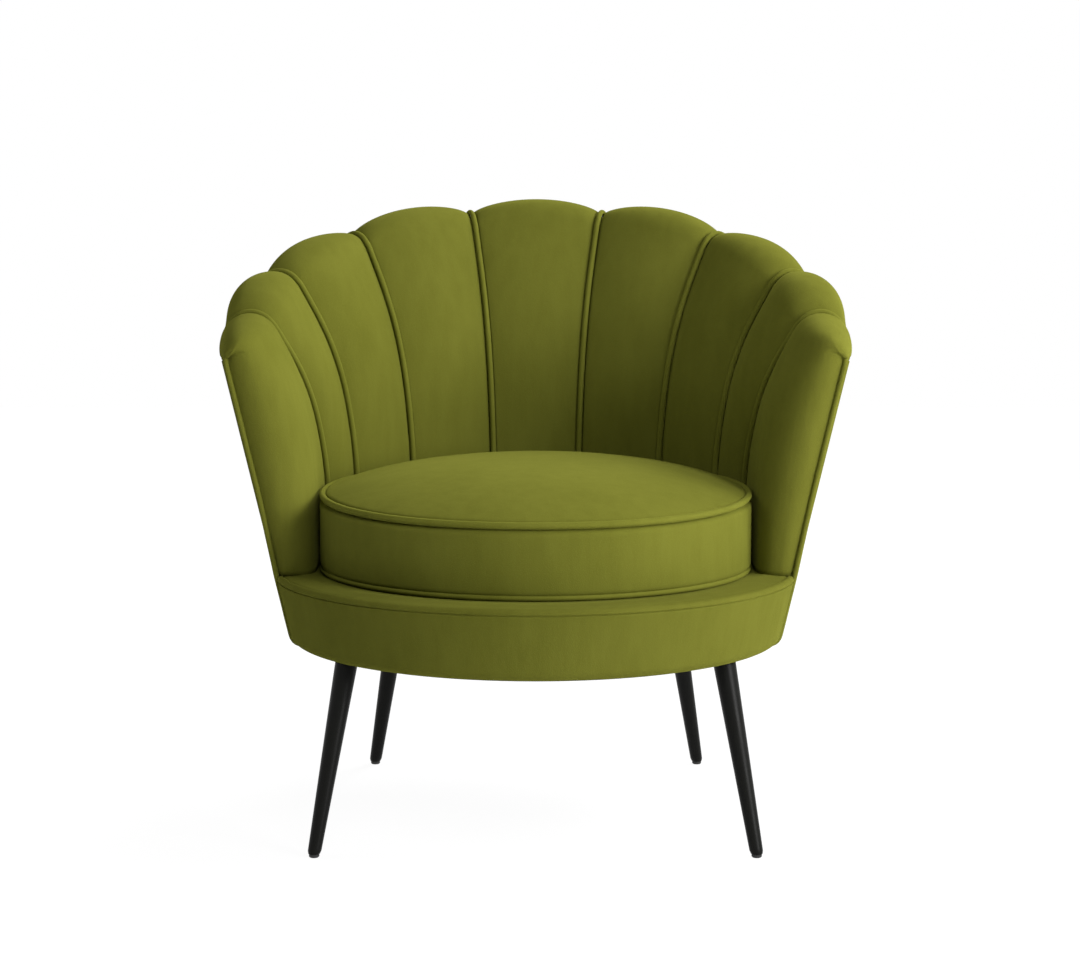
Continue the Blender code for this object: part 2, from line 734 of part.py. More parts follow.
# Legs
def make_legs(lacquer, steel, plastic, parent):
    foot_z = GLIDE_HEIGHT + GAP
    for name, top, out in leg_places():
        shoulder = mix(LEG_FOOT_RADIUS, GLIDE_RADIUS, ROUND_SHARE)
        heights = (foot_z, foot_z + ROUND_SHARE * LEG_TIP_LENGTH, foot_z + LEG_TIP_LENGTH, LEG_TOP_Z)
        radii = (GLIDE_RADIUS, shoulder, LEG_FOOT_RADIUS, LEG_TOP_RADIUS)
        angles = [360.0 * side / ROUND_SIDES for side in range(ROUND_SIDES)]
        sections = []
        for z, radius in zip(heights, radii):
            share = (LEG_TOP_Z - z) / LEG_TOP_Z
            centre = Vector((0, 0, z - LEG_TOP_Z)) + share * out
            sections.append([centre + polar(angle, radius, 0) for angle in angles])
        leg = add_object(f"leg_{name}", loft(sections), lacquer, parent)
        leg.location = top
        socket = cylinder(top, BOLT_RADIUS + BOLT_CLEARANCE, -BOLT_DEPTH_IN_LEG - GAP, BOLT_DEPTH_IN_LEG)
        cut(leg, make_cutter(f"bolt_socket_{name}", socket, parent))
        make_bolt(name, top, steel, parent)
        make_glide(name, top + out, plastic, parent)


def make_bolt(name, top, steel, parent):
    low = LEG_TOP_Z - BOLT_DEPTH_IN_LEG
    high = BASE_RING_TOP
    narrow = BOLT_RADIUS - BOLT_TIP
    profile = ((0, low), (narrow, low), (BOLT_RADIUS, low + BOLT_TIP),
               (BOLT_RADIUS, high - BOLT_TIP), (narrow, high), (0, high))
    bolt = add_object(f"leg_bolt_{name}", turn(profile, ROUND_SIDES), steel, parent)
    bolt.location = (top.x, top.y, 0)


def make_glide(name, foot, plastic, parent):
    profile = ((0, 0), (GLIDE_RADIUS - GLIDE_EDGE, 0), (GLIDE_RADIUS, GLIDE_EDGE),
               (GLIDE_RADIUS, GLIDE_HEIGHT), (0, GLIDE_HEIGHT))
    glide = add_object(f"foot_glide_{name}", turn(profile, ROUND_SIDES), plastic, parent)
    glide.location = (foot.x, foot.y, 0)


# Cushion
CUSHION_REACH = INNER_RADIUS - CROWN_SEAT - CUSHION_CLEARANCE
CUSHION_GROOVE = CUSHION_REACH - 2 * CUSHION_WELT_RADIUS - GAP
CUSHION_BOX = CUSHION_REACH - CUSHION_WELT_PROUD
CUSHION_WELT_SEAT = CUSHION_WELT_RADIUS + GAP


def make_cushion(velvet, piping, zip_tape, parent):
    """Boxed round cushion: flat below, drawn in at its piping, with a crowned top."""
    low = CUSHION_BOTTOM_WELT
    high = CUSHION_TOP_WELT
    seat = CUSHION_WELT_SEAT
    middle = mix(low, high, 0.5)
    profile = [(0, GAP), (CUSHION_BOX - 4 * CUSHION_WELT_RADIUS, GAP), (CUSHION_GROOVE, low - seat),
               (CUSHION_GROOVE, low + seat), (CUSHION_BOX, low + 2 * seat),
               (CUSHION_BOX + CUSHION_BULGE, middle), (CUSHION_BOX, high - 2 * seat),
               (CUSHION_GROOVE, high - seat), (CUSHION_GROOVE, high + seat)]
    rim_z = high + seat
    top_z = high + CUSHION_CROWN
    for turned in DOME_TURNS:
        phase = math.radians(turned)
        radius = CUSHION_GROOVE * math.cos(phase) ** CUSHION_DOME_POWER
        profile.append((radius, mix(rim_z, top_z, math.sin(phase))))
    profile.append((0, top_z))
    add_object("seat_cushion", turn(profile, CUSHION_SIDES), velvet, parent)
    welt_reach = CUSHION_GROOVE + GAP + CUSHION_WELT_RADIUS
    for name, z in (("top", high), ("bottom", low)):
        points = [polar(360.0 * side / CUSHION_SIDES, welt_reach, z) for side in range(CUSHION_SIDES)]
        tube(f"cushion_welt_{name}", points, piping, parent, CUSHION_WELT_RADIUS, cyclic=True)
    inner = CUSHION_BOX + CUSHION_BULGE + GAP
    outer = inner + ZIP_THICKNESS
    edges = (middle - ZIP_WIDTH / 2, middle + ZIP_WIDTH / 2)
    line = [(inner, edges[0]), (outer, edges[0]), (outer, edges[1]), (inner, edges[1])]
    facet = 360.0 / CUSHION_SIDES
    reach = round(ZIP_HALF_ANGLE / facet)
    sections = [[polar(facet * side, *point) for point in line] for side in range(-reach, reach + 1)]
    add_object("cushion_zip", loft(sections), zip_tape, parent)


def main():
    clear_scene()
    velvet = make_material("olive_velvet", (0.155, 0.160, 0.030), 0.85)
    piping = make_material("olive_piping", (0.120, 0.124, 0.022), 0.85)
    lacquer = make_material("black_lacquer", (0.010, 0.010, 0.009), 0.35)
    plywood = make_material("plywood", (0.52, 0.36, 0.20), 0.6)
    timber = make_material("timber", (0.45, 0.29, 0.15), 0.6)
    webbing = make_material("elastic_webbing", (0.03, 0.03, 0.03), 0.8)
    cloth = make_material("dust_cloth", (0.015, 0.015, 0.015), 0.9)
    steel = make_material("zinc_steel", (0.60, 0.60, 0.58), 0.35, 1.0)
    plastic = make_material("glide_plastic", (0.012, 0.012, 0.012), 0.5)
    zip_tape = make_material("zip_tape", (0.08, 0.085, 0.02), 0.7)
    drum = make_empty("drum_axis", (0, DRUM_Y, 0))
    lift = make_empty("cushion_lift", (0, 0, DECK_Z), drum)
    make_flutes(velvet, piping, drum)
    make_outside_back(velvet, drum)
    make_apron_cover(velvet, drum)
    make_edge_welt(piping, drum)
    make_wall_frame(plywood, timber, drum)
    make_base_ring(plywood, drum)
    make_seat_ring(plywood, drum)
    make_drum_posts(timber, drum)
    make_apron_board(plywood, drum)
    make_straps(webbing, drum)
    make_deck_pad(velvet, drum)
    make_dust_cover(cloth, drum)
    make_legs(lacquer, steel, plastic, drum)
    make_cushion(velvet, piping, zip_tape, lift)


main()
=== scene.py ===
# %% [markdown]
# A scallop-back tub chair in olive velvet
#
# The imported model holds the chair's solids in metres, with the floor at z = 0 and the chair facing -Y.
# This lesson dresses those solids. It sews a velvet cover for each stuffed flute of the shell, lays the
# piping in the seams, inflates the loose cushion, turns the legs, and then sets up light and camera.

# %% Load the frame
import json
import math

import bmesh
import bpy
import numpy as np
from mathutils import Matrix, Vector


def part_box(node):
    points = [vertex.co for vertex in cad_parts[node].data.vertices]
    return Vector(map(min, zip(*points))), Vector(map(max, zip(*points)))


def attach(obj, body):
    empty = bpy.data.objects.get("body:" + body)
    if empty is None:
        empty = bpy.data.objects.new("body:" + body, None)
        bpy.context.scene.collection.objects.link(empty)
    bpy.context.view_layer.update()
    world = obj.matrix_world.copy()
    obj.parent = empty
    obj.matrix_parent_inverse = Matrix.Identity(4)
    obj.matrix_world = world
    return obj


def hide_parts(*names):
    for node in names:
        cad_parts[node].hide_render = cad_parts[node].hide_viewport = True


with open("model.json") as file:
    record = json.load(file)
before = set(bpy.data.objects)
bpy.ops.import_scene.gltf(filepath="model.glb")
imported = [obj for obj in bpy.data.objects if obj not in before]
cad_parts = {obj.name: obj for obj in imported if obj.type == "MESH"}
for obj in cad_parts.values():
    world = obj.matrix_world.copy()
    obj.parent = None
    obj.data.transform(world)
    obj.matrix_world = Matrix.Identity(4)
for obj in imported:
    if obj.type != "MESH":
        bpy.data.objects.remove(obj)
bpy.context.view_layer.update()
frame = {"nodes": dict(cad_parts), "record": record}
print("nodes in the frame:", len(frame["nodes"]))

# %% [markdown]
# The wall of the shell
#
# Every cover follows the same wall: a cone that flares out from the drum, with an inside that leans back
# and rolls over at the top. Writing that section once as a formula keeps the covers, the piping and the
# hidden solids in step. A station counts along the section: 0 is the foot on the deck, 1 the lumbar point,
# 6 the start of the roll, 13 its end and 14 the tack line on the outside. Angles are in degrees round the
# drum, 0 at the middle of the back and +90 at the arm on +X.

# %% Sizes of the wall
BASE_Z = 0.225
BASE_RADIUS = 0.307
BASE_EDGE_RADIUS = 0.014
DECK_Z = 0.312
FLARE = math.radians(13.1)
LEAN = math.radians(30.3)
WALL_SEAT_THICKNESS = 0.0375
BACK_CREST_Z = 0.7533
SIDE_CREST_Z = 0.6116
CREST_EASE = 0.12
CREST_FILL = 0.0014
ROLL_RADIUS = 0.032
LUMBAR_Z = 0.410
BEND_REACH = 0.4
LIP_DROP = 0.002
ARM_LIP_DROP = 0.003
ARM_LIFT = math.radians(13.5)
ARM_LIFT_ANGLES = (84.0, 102.0)
GAP = 0.0005
FOOT_Z = DECK_Z - 0.0010
ROLL_START = 6
ROLL_END = 13
LIP = 14
NORMAL_STEP = 0.05
drum_low, drum_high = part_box("seat_ring")
DRUM_Y = (drum_low.y + drum_high.y) / 2
print("drum axis at y =", round(DRUM_Y, 4))


# %% Section of the wall
def outer_radius(z):
    return BASE_RADIUS + math.tan(FLARE) * (z - BASE_Z)


INNER_RADIUS = outer_radius(DECK_Z) - WALL_SEAT_THICKNESS


def mix(a, b, share):
    return a + (b - a) * share


def polar(angle, radius, z):
    """Points at an angle round the drum axis, as rows of x, y, z."""
    turn = np.radians(angle)
    x, y, z = np.broadcast_arrays(radius * np.sin(turn), radius * np.cos(turn) + DRUM_Y, z)
    return np.stack((x, y, z), axis=-1)


def crest_height(angle):
    """Top line in the valleys: high at the back, level along the arms."""
    across = np.cos(np.radians(angle))
    share = (across + np.hypot(across, CREST_EASE)) / (1 + math.hypot(1, CREST_EASE))
    return mix(SIDE_CREST_Z, BACK_CREST_Z, share) + CREST_FILL * np.sin(2 * np.radians(angle)) ** 2


def wall_section(angle, station):
    """Radius and height of the wall in a valley."""
    angle, station = np.broadcast_arrays(np.asarray(angle, float), np.asarray(station, float))
    centre_z = crest_height(angle) - ROLL_RADIUS
    centre_r = outer_radius(centre_z) - ROLL_RADIUS / math.cos(FLARE)
    first = math.pi - LEAN
    near = np.clip((np.abs(angle) - ARM_LIFT_ANGLES[0]) / (ARM_LIFT_ANGLES[1] - ARM_LIFT_ANGLES[0]), 0, 1)
    near = near ** 2 * (3 - 2 * near)
    last = ARM_LIFT * near - FLARE
    turned = first - (first - last) * np.clip((station - ROLL_START) / (ROLL_END - ROLL_START), 0, 1)
    start_r = centre_r + ROLL_RADIUS * math.cos(first)
    start_z = centre_z + ROLL_RADIUS * math.sin(first)
    reach = BEND_REACH * np.hypot(start_r - INNER_RADIUS, start_z - LUMBAR_Z)
    t = np.clip((station - 1) / (ROLL_START - 1), 0, 1)
    weights = ((1 - t) ** 3, 3 * t * (1 - t) ** 2, 3 * t ** 2 * (1 - t), t ** 3)
    bend_r = weights[0] * INNER_RADIUS + weights[1] * INNER_RADIUS
    bend_r = bend_r + weights[2] * (start_r - reach * math.sin(LEAN)) + weights[3] * start_r
    bend_z = weights[0] * LUMBAR_Z + weights[1] * (LUMBAR_Z + reach)
    bend_z = bend_z + weights[2] * (start_z - reach * math.cos(LEAN)) + weights[3] * start_z
    drop = (LIP_DROP + ARM_LIP_DROP * near) * np.clip(station - ROLL_END, 0, 1)
    roll_r = centre_r + ROLL_RADIUS * np.cos(turned) - drop * math.sin(FLARE)
    roll_z = centre_z + ROLL_RADIUS * np.sin(turned) - drop * math.cos(FLARE)
    radius = np.where(station <= ROLL_START, bend_r, roll_r)
    height = np.where(station <= ROLL_START, bend_z, roll_z)
    below = np.clip(1 - station, 0, 1)
    return radius, height - below * (LUMBAR_Z - FOOT_Z)


def wall_normal(angle, station):
    """Direction out of the wall's shown side, as radius and height."""
    r1, z1 = wall_section(angle, np.clip(np.asarray(station) + NORMAL_STEP, 0, LIP))
    r0, z0 = wall_section(angle, np.clip(np.asarray(station) - NORMAL_STEP, 0, LIP))
    length = np.hypot(r1 - r0, z1 - z0)
    return -(z1 - z0) / length, (r1 - r0) / length


def wall_point(angle, station, offset):
    """Point of the wall, moved out of its shown side by an offset."""
    radius, height = wall_section(angle, station)
    normal_r, normal_z = wall_normal(angle, station)
    return polar(angle, radius + offset * normal_r, height + offset * normal_z)


print("inside radius at the seat:", round(float(INNER_RADIUS), 4))

# %% Swell of the flutes
CROWN_STATIONS = (0, 3, 6, 10, 11.9, 12.6, 14)
CROWN_SEAT = 0.008
CROWN_BACK = 0.014
CROWN_TOPS = (0.0187, 0.0205, 0.0200, 0.0225)
CROWN_LEANS = (0.0, 0.08, 0.22, 0.25)
CROWN_TUCKS = (0.0, 0.0, 0.001, 0.003)
CROWN_POWERS = ((0, 5, 7, 14), (0.95, 0.90, 0.68, 0.68))
ARM_CROWNS = ((0, 1, 3, 8, 14), (0.0165, 0.0165, 0.009, 0.010, 0.0))
PADS = ((0, 3, 6, 14), (0.012, 0.027, 0.016, 0.005))


def eased(station, stops, values, width=0.8, samples=9):
    """Values between stops, with the corners rounded by averaging over neighbouring stations."""
    shifts = np.linspace(-width, width, samples)
    return sum(np.interp(np.asarray(station) + shift, stops, values) for shift in shifts) / samples


def crown(station, rank):
    """How far a flute swells above its valleys; flutes rank outwards from the middle of the back."""
    top, tuck = CROWN_TOPS[rank], -CROWN_TUCKS[rank]
    return eased(station, CROWN_STATIONS, (CROWN_SEAT, CROWN_BACK, top, top, tuck, tuck, 0.0))


def crown_power(station):
    """Shape of the swell across a flute: flat against the wall, full over the roll."""
    return eased(station, *CROWN_POWERS)


def arm_crown(station):
    """The same for the arm ends, which press against the cushion and stay flatter above it."""
    return eased(station, *ARM_CROWNS)


def pad(station):
    """Stuffing behind a valley, down to the hidden frame."""
    return eased(station, *PADS)


print("flutes swell by up to", round(1000 * max(CROWN_TOPS), 1), "mm")

# %% [markdown]
# Meshes and node trees
#
# A few small helpers do the repeated work. A shell joins a shown grid of points to a hidden grid behind it
# and closes the rim, so each cover is one closed body. `put` adds a node and feeds its sockets, which
# serves geometry trees and shader trees alike. `dress` ends a geometry tree: it makes instances real and
# sets the material. `grow` runs a geometry tree on an object and keeps the result as a plain mesh.


# %% Mesh helpers
def add_mesh(name, verts, faces, material=None):
    mesh = bpy.data.meshes.new(name)
    mesh.from_pydata([tuple(vert) for vert in verts], [], faces)
    mesh.shade_smooth()
    piece = bpy.data.objects.new(name, mesh)
    bpy.context.scene.collection.objects.link(piece)
    if material:
        mesh.materials.append(material)
    return piece


def grid_faces(rows, columns, first=0):
    faces = []
    for row in range(rows - 1):
        for column in range(columns - 1):
            low = first + row * columns + column
            faces.append((low, low + 1, low + columns + 1, low + columns))
    return faces


def shell(name, shown, hidden, material=None, layers=None):
    """Closed body between two grids of the same shape; a full round is closed at its last row only."""
    rows, columns = shown.shape[:2]
    count = rows * columns
    rim = [(rows - 1) * columns + column for column in range(columns - 1, -1, -1)]
    if not np.allclose(shown[:, 0], shown[:, -1]):
        rim += [row * columns for row in range(rows - 2, -1, -1)]
        rim += list(range(1, columns))
        rim += [row * columns + columns - 1 for row in range(1, rows)]
    faces = grid_faces(rows, columns)
    faces += [tuple(reversed(face)) for face in grid_faces(rows, columns, count)]
    for near, far in zip(rim, rim[1:]):
        faces.append((near, near + count, far + count, far))
    verts = np.concatenate((shown.reshape(-1, 3), hidden.reshape(-1, 3)))
    piece = add_mesh(name, verts, faces, material)
    for label, numbers in (layers or {}).items():
        kind, key = ("FLOAT_VECTOR", "vector") if numbers.ndim == 3 else ("FLOAT", "value")
        layer = piece.data.attributes.new(label, kind, "POINT")
        layer.data.foreach_set(key, np.concatenate((numbers, 0 * numbers)).astype(np.float32).ravel())
    return tidy_mesh(piece)


def tidy_mesh(piece, merge=1e-6):
    """Merge doubles and turn every face outwards."""
    bm = bmesh.new()
    bm.from_mesh(piece.data)
    bmesh.ops.remove_doubles(bm, verts=bm.verts, dist=merge)
    bmesh.ops.recalc_face_normals(bm, faces=bm.faces)
    bm.to_mesh(piece.data)
    bm.free()
    piece.data.shade_smooth()
    return piece


print("mesh helpers ready")


# %% Node helpers
def put(tree, kind, sockets=None, **settings):
    """Add a node, set its properties, and feed its sockets with values or links."""
    node = tree.nodes.new(kind)
    for name, value in settings.items():
        setattr(node, name, value)
    for key, value in (sockets or {}).items():
        socket = node.inputs[key]
        if isinstance(value, bpy.types.NodeSocket):
            tree.links.new(value, socket)
        else:
            socket.default_value = value
    return node


def math_out(tree, operation, a, b=0.0, clamp=False):
    return put(tree, "ShaderNodeMath", {0: a, 1: b}, operation=operation, use_clamp=clamp).outputs[0]


def vector_out(tree, operation, sockets):
    return put(tree, "ShaderNodeVectorMath", sockets, operation=operation).outputs[0]


def new_tree(name, inputs):
    """Geometry tree with a geometry input and named inputs of the given socket types."""
    tree = bpy.data.node_groups.new(name, "GeometryNodeTree")
    tree.interface.new_socket("Geometry", in_out="INPUT", socket_type="NodeSocketGeometry")
    for label, kind in inputs.items():
        tree.interface.new_socket(label, in_out="INPUT", socket_type="NodeSocket" + kind)
    tree.interface.new_socket("Geometry", in_out="OUTPUT", socket_type="NodeSocketGeometry")
    return tree, tree.nodes.new("NodeGroupInput").outputs, tree.nodes.new("NodeGroupOutput").inputs


def dress(tree, geometry, material, result):
    """End of a geometry tree: instances made real, and the material set."""
    real = put(tree, "GeometryNodeRealizeInstances", {0: geometry})
    dressed = put(tree, "GeometryNodeSetMaterial", {"Geometry": real.outputs[0], "Material": material})
    tree.links.new(dressed.outputs[0], result[0])
    return tree


def grow(source, tree, values):
    """Run a tree on an object and return its result as a plain mesh object of the same name."""
    modifier = source.modifiers.new(tree.name, "NODES")
    modifier.node_group = tree
    for item in tree.interface.items_tree:
        if item.in_out == "INPUT" and item.name in values:
            modifier[item.identifier] = values[item.name]
    graph = bpy.context.evaluated_depsgraph_get()
    mesh = bpy.data.meshes.new_from_object(source.evaluated_get(graph))
    name = source.name
    bpy.data.objects.remove(source)
    piece = bpy.data.objects.new(name, mesh)
    mesh.name = name
    bpy.context.scene.collection.objects.link(piece)
    return piece


def add_path(name, points, closed=False):
    """Poly curve through points, as the path of a geometry tree."""
    curve = bpy.data.curves.new(name, "CURVE")
    curve.dimensions = "3D"
    spline = curve.splines.new("POLY")
    spline.points.add(len(points) - 1)
    for target, point in zip(spline.points, points):
        target.co = (*point, 1.0)
    spline.use_cyclic_u = closed
    path = bpy.data.objects.new(name, curve)
    bpy.context.scene.collection.objects.link(path)
    return path


print("node helpers ready")


# %% Fixing a piece to the frame
def mount(piece, body, slot, *nodes):
    """Fix a finished piece to its body and hide the solids that it stands for; the slot is not used."""
    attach(piece, body)
    if nodes:
        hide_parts(*nodes)
    return piece


print("pieces ride on the chair or the cushion")

# %% [markdown]
# Finishes
#
# Velvet is a short upright pile. Light that grazes it catches the tips, which is what a sheen lobe gives,
# and the pile leans a little differently from patch to patch, so the colour drifts without a pattern. The
# finish mixes three depths of olive by a slow noise, breaks them with a fine pile grain, and lets the same
# grain drive roughness and bump. The piping is cut from the same cloth on the bias; it gets a lighter copy
# of the velvet, which is a painted highlight. The apron and the deck get a darker copy of the same velvet,
# which is painted shade.

# %% Velvet
DRIFT_SHARE = 0.6
TIP_GAIN = 1.22
SHEEN_TINT = (0.60, 0.62, 0.12, 1.0)


def new_finish(name):
    """Material with its tree, its shader and its object coordinates."""
    material = bpy.data.materials.new(name)
    material.use_nodes = True
    tree = material.node_tree
    where = tree.nodes.new("ShaderNodeTexCoord").outputs["Object"]
    return material, tree, tree.nodes["Principled BSDF"], where


def stretched(tree, where, scale):
    return put(tree, "ShaderNodeMapping", {"Vector": where, "Scale": scale}).outputs[0]


def bump_out(tree, height, strength, distance, below=None):
    """Normal of a bump, laid over the normal of a finer bump below it where there is one."""
    sockets = {"Height": height, "Strength": strength, "Distance": distance}
    if below:
        sockets["Normal"] = below
    return put(tree, "ShaderNodeBump", sockets).outputs[0]


def set_surface(tree, shader, colour, roughness, normal):
    for socket, value in (("Base Color", colour), ("Roughness", roughness), ("Normal", normal)):
        tree.links.new(value, shader.inputs[socket])


def noise_out(tree, where, scale, detail=2.0):
    return put(tree, "ShaderNodeTexNoise", {"Vector": where, "Scale": scale, "Detail": detail}).outputs["Fac"]


def blend_colour(tree, share, low, high):
    node = put(tree, "ShaderNodeMix", data_type="RGBA")
    tree.links.new(share, node.inputs[0])
    for socket, colour in ((node.inputs[6], low), (node.inputs[7], high)):
        if isinstance(colour, bpy.types.NodeSocket):
            tree.links.new(colour, socket)
        else:
            socket.default_value = (*colour, 1.0)
    return node.outputs[2]


def span_out(tree, value, low, high, start=0.3, end=0.7):
    sockets = {0: value, 1: start, 2: end, 3: low, 4: high}
    return put(tree, "ShaderNodeMapRange", sockets).outputs[0]


def velvet_finish(name, deep, bright, sheen):
    """Pile cloth between a deep and a bright olive."""
    material, tree, shader, where = new_finish(name)
    drift = noise_out(tree, where, scale=7.0, detail=3.0)
    strokes = noise_out(tree, stretched(tree, where, (60.0, 60.0, 14.0)), scale=1.0, detail=3.0)
    grain = noise_out(tree, where, scale=900.0, detail=1.0)
    patches = math_out(tree, "MULTIPLY", drift, DRIFT_SHARE)
    lean = math_out(tree, "ADD", patches, math_out(tree, "MULTIPLY", strokes, 1 - DRIFT_SHARE))
    nap = blend_colour(tree, span_out(tree, lean, 0.0, 1.0), deep, bright)
    tips = tuple(TIP_GAIN * channel for channel in bright)
    colour = blend_colour(tree, span_out(tree, grain, 0.0, 0.35, start=0.45, end=0.8), nap, tips)
    shader.inputs["Specular IOR Level"].default_value = 0.0
    shader.inputs["Sheen Weight"].default_value = sheen
    shader.inputs["Sheen Roughness"].default_value = 0.42
    shader.inputs["Sheen Tint"].default_value = SHEEN_TINT
    pile = bump_out(tree, grain, strength=0.35, distance=0.0006)
    soft = bump_out(tree, strokes, strength=0.25, distance=0.002, below=pile)
    set_surface(tree, shader, colour, span_out(tree, grain, 0.92, 0.74), soft)
    return material


velvet = velvet_finish("olive_velvet", (0.133, 0.138, 0.0185), (0.168, 0.173, 0.0258), 0.24)
# Painted highlight: a lighter copy of the same velvet for the piping.
painted_highlight_velvet = velvet_finish("painted_highlight_velvet", (0.143, 0.149, 0.0200), (0.179, 0.185, 0.0278), 0.26)
# Painted shade: a darker copy of the same velvet for the apron and the deck.
painted_shade_velvet = velvet_finish("painted_shade_velvet", (0.117, 0.121, 0.0163), (0.148, 0.152, 0.0227), 0.22)
print("velvet finishes:", velvet.name, painted_highlight_velvet.name, painted_shade_velvet.name)

# %% [markdown]
# Stuffed flutes
#
# Each flute is a channel of velvet sewn along both edges and packed with wadding, so it is a flat strip of
# the wall that swells between its seams. The strip carries three attributes: how far it swells, which way
# is out of the wall, and how firmly a seam holds it. A geometry tree then plumps every strip by one rule,
# and lets the cloth pucker a little where the stitches hold it. The same tree does the plain flutes and the
# arm ends. Beside the piping each cover dips into a narrow slot, which shows as a dark line.

# %% Plumping tree
PUCKER_REACH = 0.014


def plump_tree():
    inputs = {"Fullness": "Float", "Pucker Depth": "Float", "Pucker Scale": "Float", "Seed": "Float",
              "Cover": "Material"}
    tree, given, result = new_tree("plump_flute", inputs)
    swell, outward = (put(tree, "GeometryNodeInputNamedAttribute", {"Name": name}, data_type="FLOAT_VECTOR")
                      for name in ("swell", "outward"))
    held = put(tree, "GeometryNodeInputNamedAttribute", {"Name": "held"}, data_type="FLOAT")
    where = tree.nodes.new("GeometryNodeInputPosition").outputs[0]
    sockets = {"Vector": where, "W": given["Seed"], "Scale": given["Pucker Scale"], "Detail": 1.0}
    ripple = put(tree, "ShaderNodeTexNoise", sockets, noise_dimensions="4D").outputs["Fac"]
    wave = math_out(tree, "MULTIPLY", held.outputs[0], math_out(tree, "SUBTRACT", ripple, 0.5))
    depth = math_out(tree, "MULTIPLY", wave, given["Pucker Depth"])
    full = vector_out(tree, "SCALE", {0: swell.outputs[0], "Scale": given["Fullness"]})
    pulled = vector_out(tree, "SCALE", {0: outward.outputs[0], "Scale": depth})
    move = vector_out(tree, "ADD", {0: full, 1: pulled})
    moved = put(tree, "GeometryNodeSetPosition", {"Geometry": given["Geometry"], "Offset": move})
    return dress(tree, moved.outputs[0], given["Cover"], result)


flute_tree = plump_tree()
print("plumping tree has", len(flute_tree.nodes), "nodes")

# %% Flute sizes and seams
SEAM_SEAT_ANGLES = (11.6, 35.0, 55.3, 69.9)
SEAM_TOP_ANGLES = (13.6, 40.0, 64.3, 86.0)
ARM_FRAME_ANGLE = 89.0
ARM_FRONT_ANGLE = 102.0
ARM_EDGE_INSET = 0.0040
WELT_RADIUS = 0.0036
WELT_SEAT = WELT_RADIUS + GAP
SEAM_ROOM = 0.0018
SEAM_HALF = WELT_RADIUS + SEAM_ROOM
SEAM_WALL = 0.0003
SEAM_DEPTH = 0.0042
SEAM_RISE = 0.0030
SEAM_CLOSE = 0.0024
SLOT_STATIONS = (8.4, 9.8, 10.8, 12)
SEAM_BEND = 0.6
stations = np.concatenate((np.linspace(0, 1, 14)[:-1], np.linspace(1, ROLL_START, 44)[:-1],
                           np.linspace(ROLL_START, ROLL_END, 60)[:-1], np.linspace(ROLL_END, LIP, 3)))


def seam_line(seam, station):
    """Angle of a seam along the wall; seams count 1 to 4 outwards, negative on the -X side."""
    number = abs(seam) - 1
    share = eased(station, (1, ROLL_START), (0.0, 1.0), SEAM_BEND)
    return math.copysign(1, seam) * mix(SEAM_SEAT_ANGLES[number], SEAM_TOP_ANGLES[number], share)


def wall_outward(angle, station):
    normal_r, normal_z = wall_normal(angle, station)
    return polar(angle, normal_r, normal_z) - np.array((0.0, DRUM_Y, 0.0))


def seam_swell(full, share):
    """Height over the valley: the edge stands beside the piping, and the middle swells to its crown."""
    edge = np.minimum(SEAM_RISE, full)
    return edge + (full - edge) * share


def seam_floor(station):
    """Floor of the slot under the piping, on two columns; it rises and closes the slot at the crest."""
    floor = eased(station, SLOT_STATIONS, (-SEAM_DEPTH, SEAM_CLOSE, SEAM_CLOSE, 0.0))
    return np.repeat(floor, 2, axis=1)


def sew(number, shown, hidden, swell, outward, free):
    """Sew one flute from its strip, plump it and fix it to the chair. Free is 0 at a seam."""
    layers = {"swell": swell, "outward": outward, "held": np.clip(1 - free / PUCKER_REACH, 0, 1)}
    strip = shell(f"flute_cover_{number}", shown, hidden, layers=layers)
    values = {"Fullness": 1.0, "Pucker Depth": 0.0010, "Pucker Scale": 55.0, "Seed": float(number),
              "Cover": velvet}
    cover = grow(strip, flute_tree, values)
    mount(cover, "chair", "velvet", f"flute_{number}")
    print(cover.name, len(cover.data.polygons), "faces")


print("stations up the wall:", len(stations))


# %% Sew the flutes of the back
def back_flute(number, left, right, columns=36):
    station = stations[:, None]
    low, high = seam_line(left, station), seam_line(right, station)
    radius = wall_section((low + high) / 2, station)[0]
    seat = np.degrees(SEAM_HALF / radius)
    slot = np.degrees((SEAM_HALF - SEAM_WALL) / radius)
    slit = np.degrees(GAP / 2 / radius)
    across = -np.cos(np.linspace(0, math.pi, columns))[None, :]
    body = mix(low + seat, high - seat, (1 + across) / 2)
    angle = np.concatenate((low + slit, low + slot, body, high - slot, high - slit), axis=1)
    free = np.minimum(angle - low - seat, high - seat - angle) * math.pi / 180 * radius
    even = mix(angle[:, :1], angle[:, -1:], np.linspace(0, 1, angle.shape[1])[None, :])
    outward = wall_outward(angle, station)
    rank = min(abs(left), abs(right)) if left * right > 0 else 0
    lean = 1 + CROWN_LEANS[rank] * across * math.copysign(1, left + right)
    swell = seam_swell(crown(station, rank), np.clip(1 - across ** 2, 0, 1) ** crown_power(station) * lean)
    floor = seam_floor(station)
    swell = outward * np.concatenate((floor, swell, floor), axis=1)[..., None]
    shown, hidden = wall_point(angle, station, 0.0), wall_point(even, station, -pad(station))
    sew(number, shown, hidden, swell, outward, free)


seams = (-4, -3, -2, -1, 1, 2, 3, 4)
for number, (left, right) in enumerate(zip(seams, seams[1:]), start=2):
    back_flute(number, left, right)

# %% [markdown]
# Arm ends
#
# The last flute on each side is half a channel along the arm. From its crest it turns round the end of the
# arm and closes on the piping at the outer edge, like the end of a bolster. The strip goes on past the
# crest in small turns: each one swings further round the drum and draws the section in towards the edge.


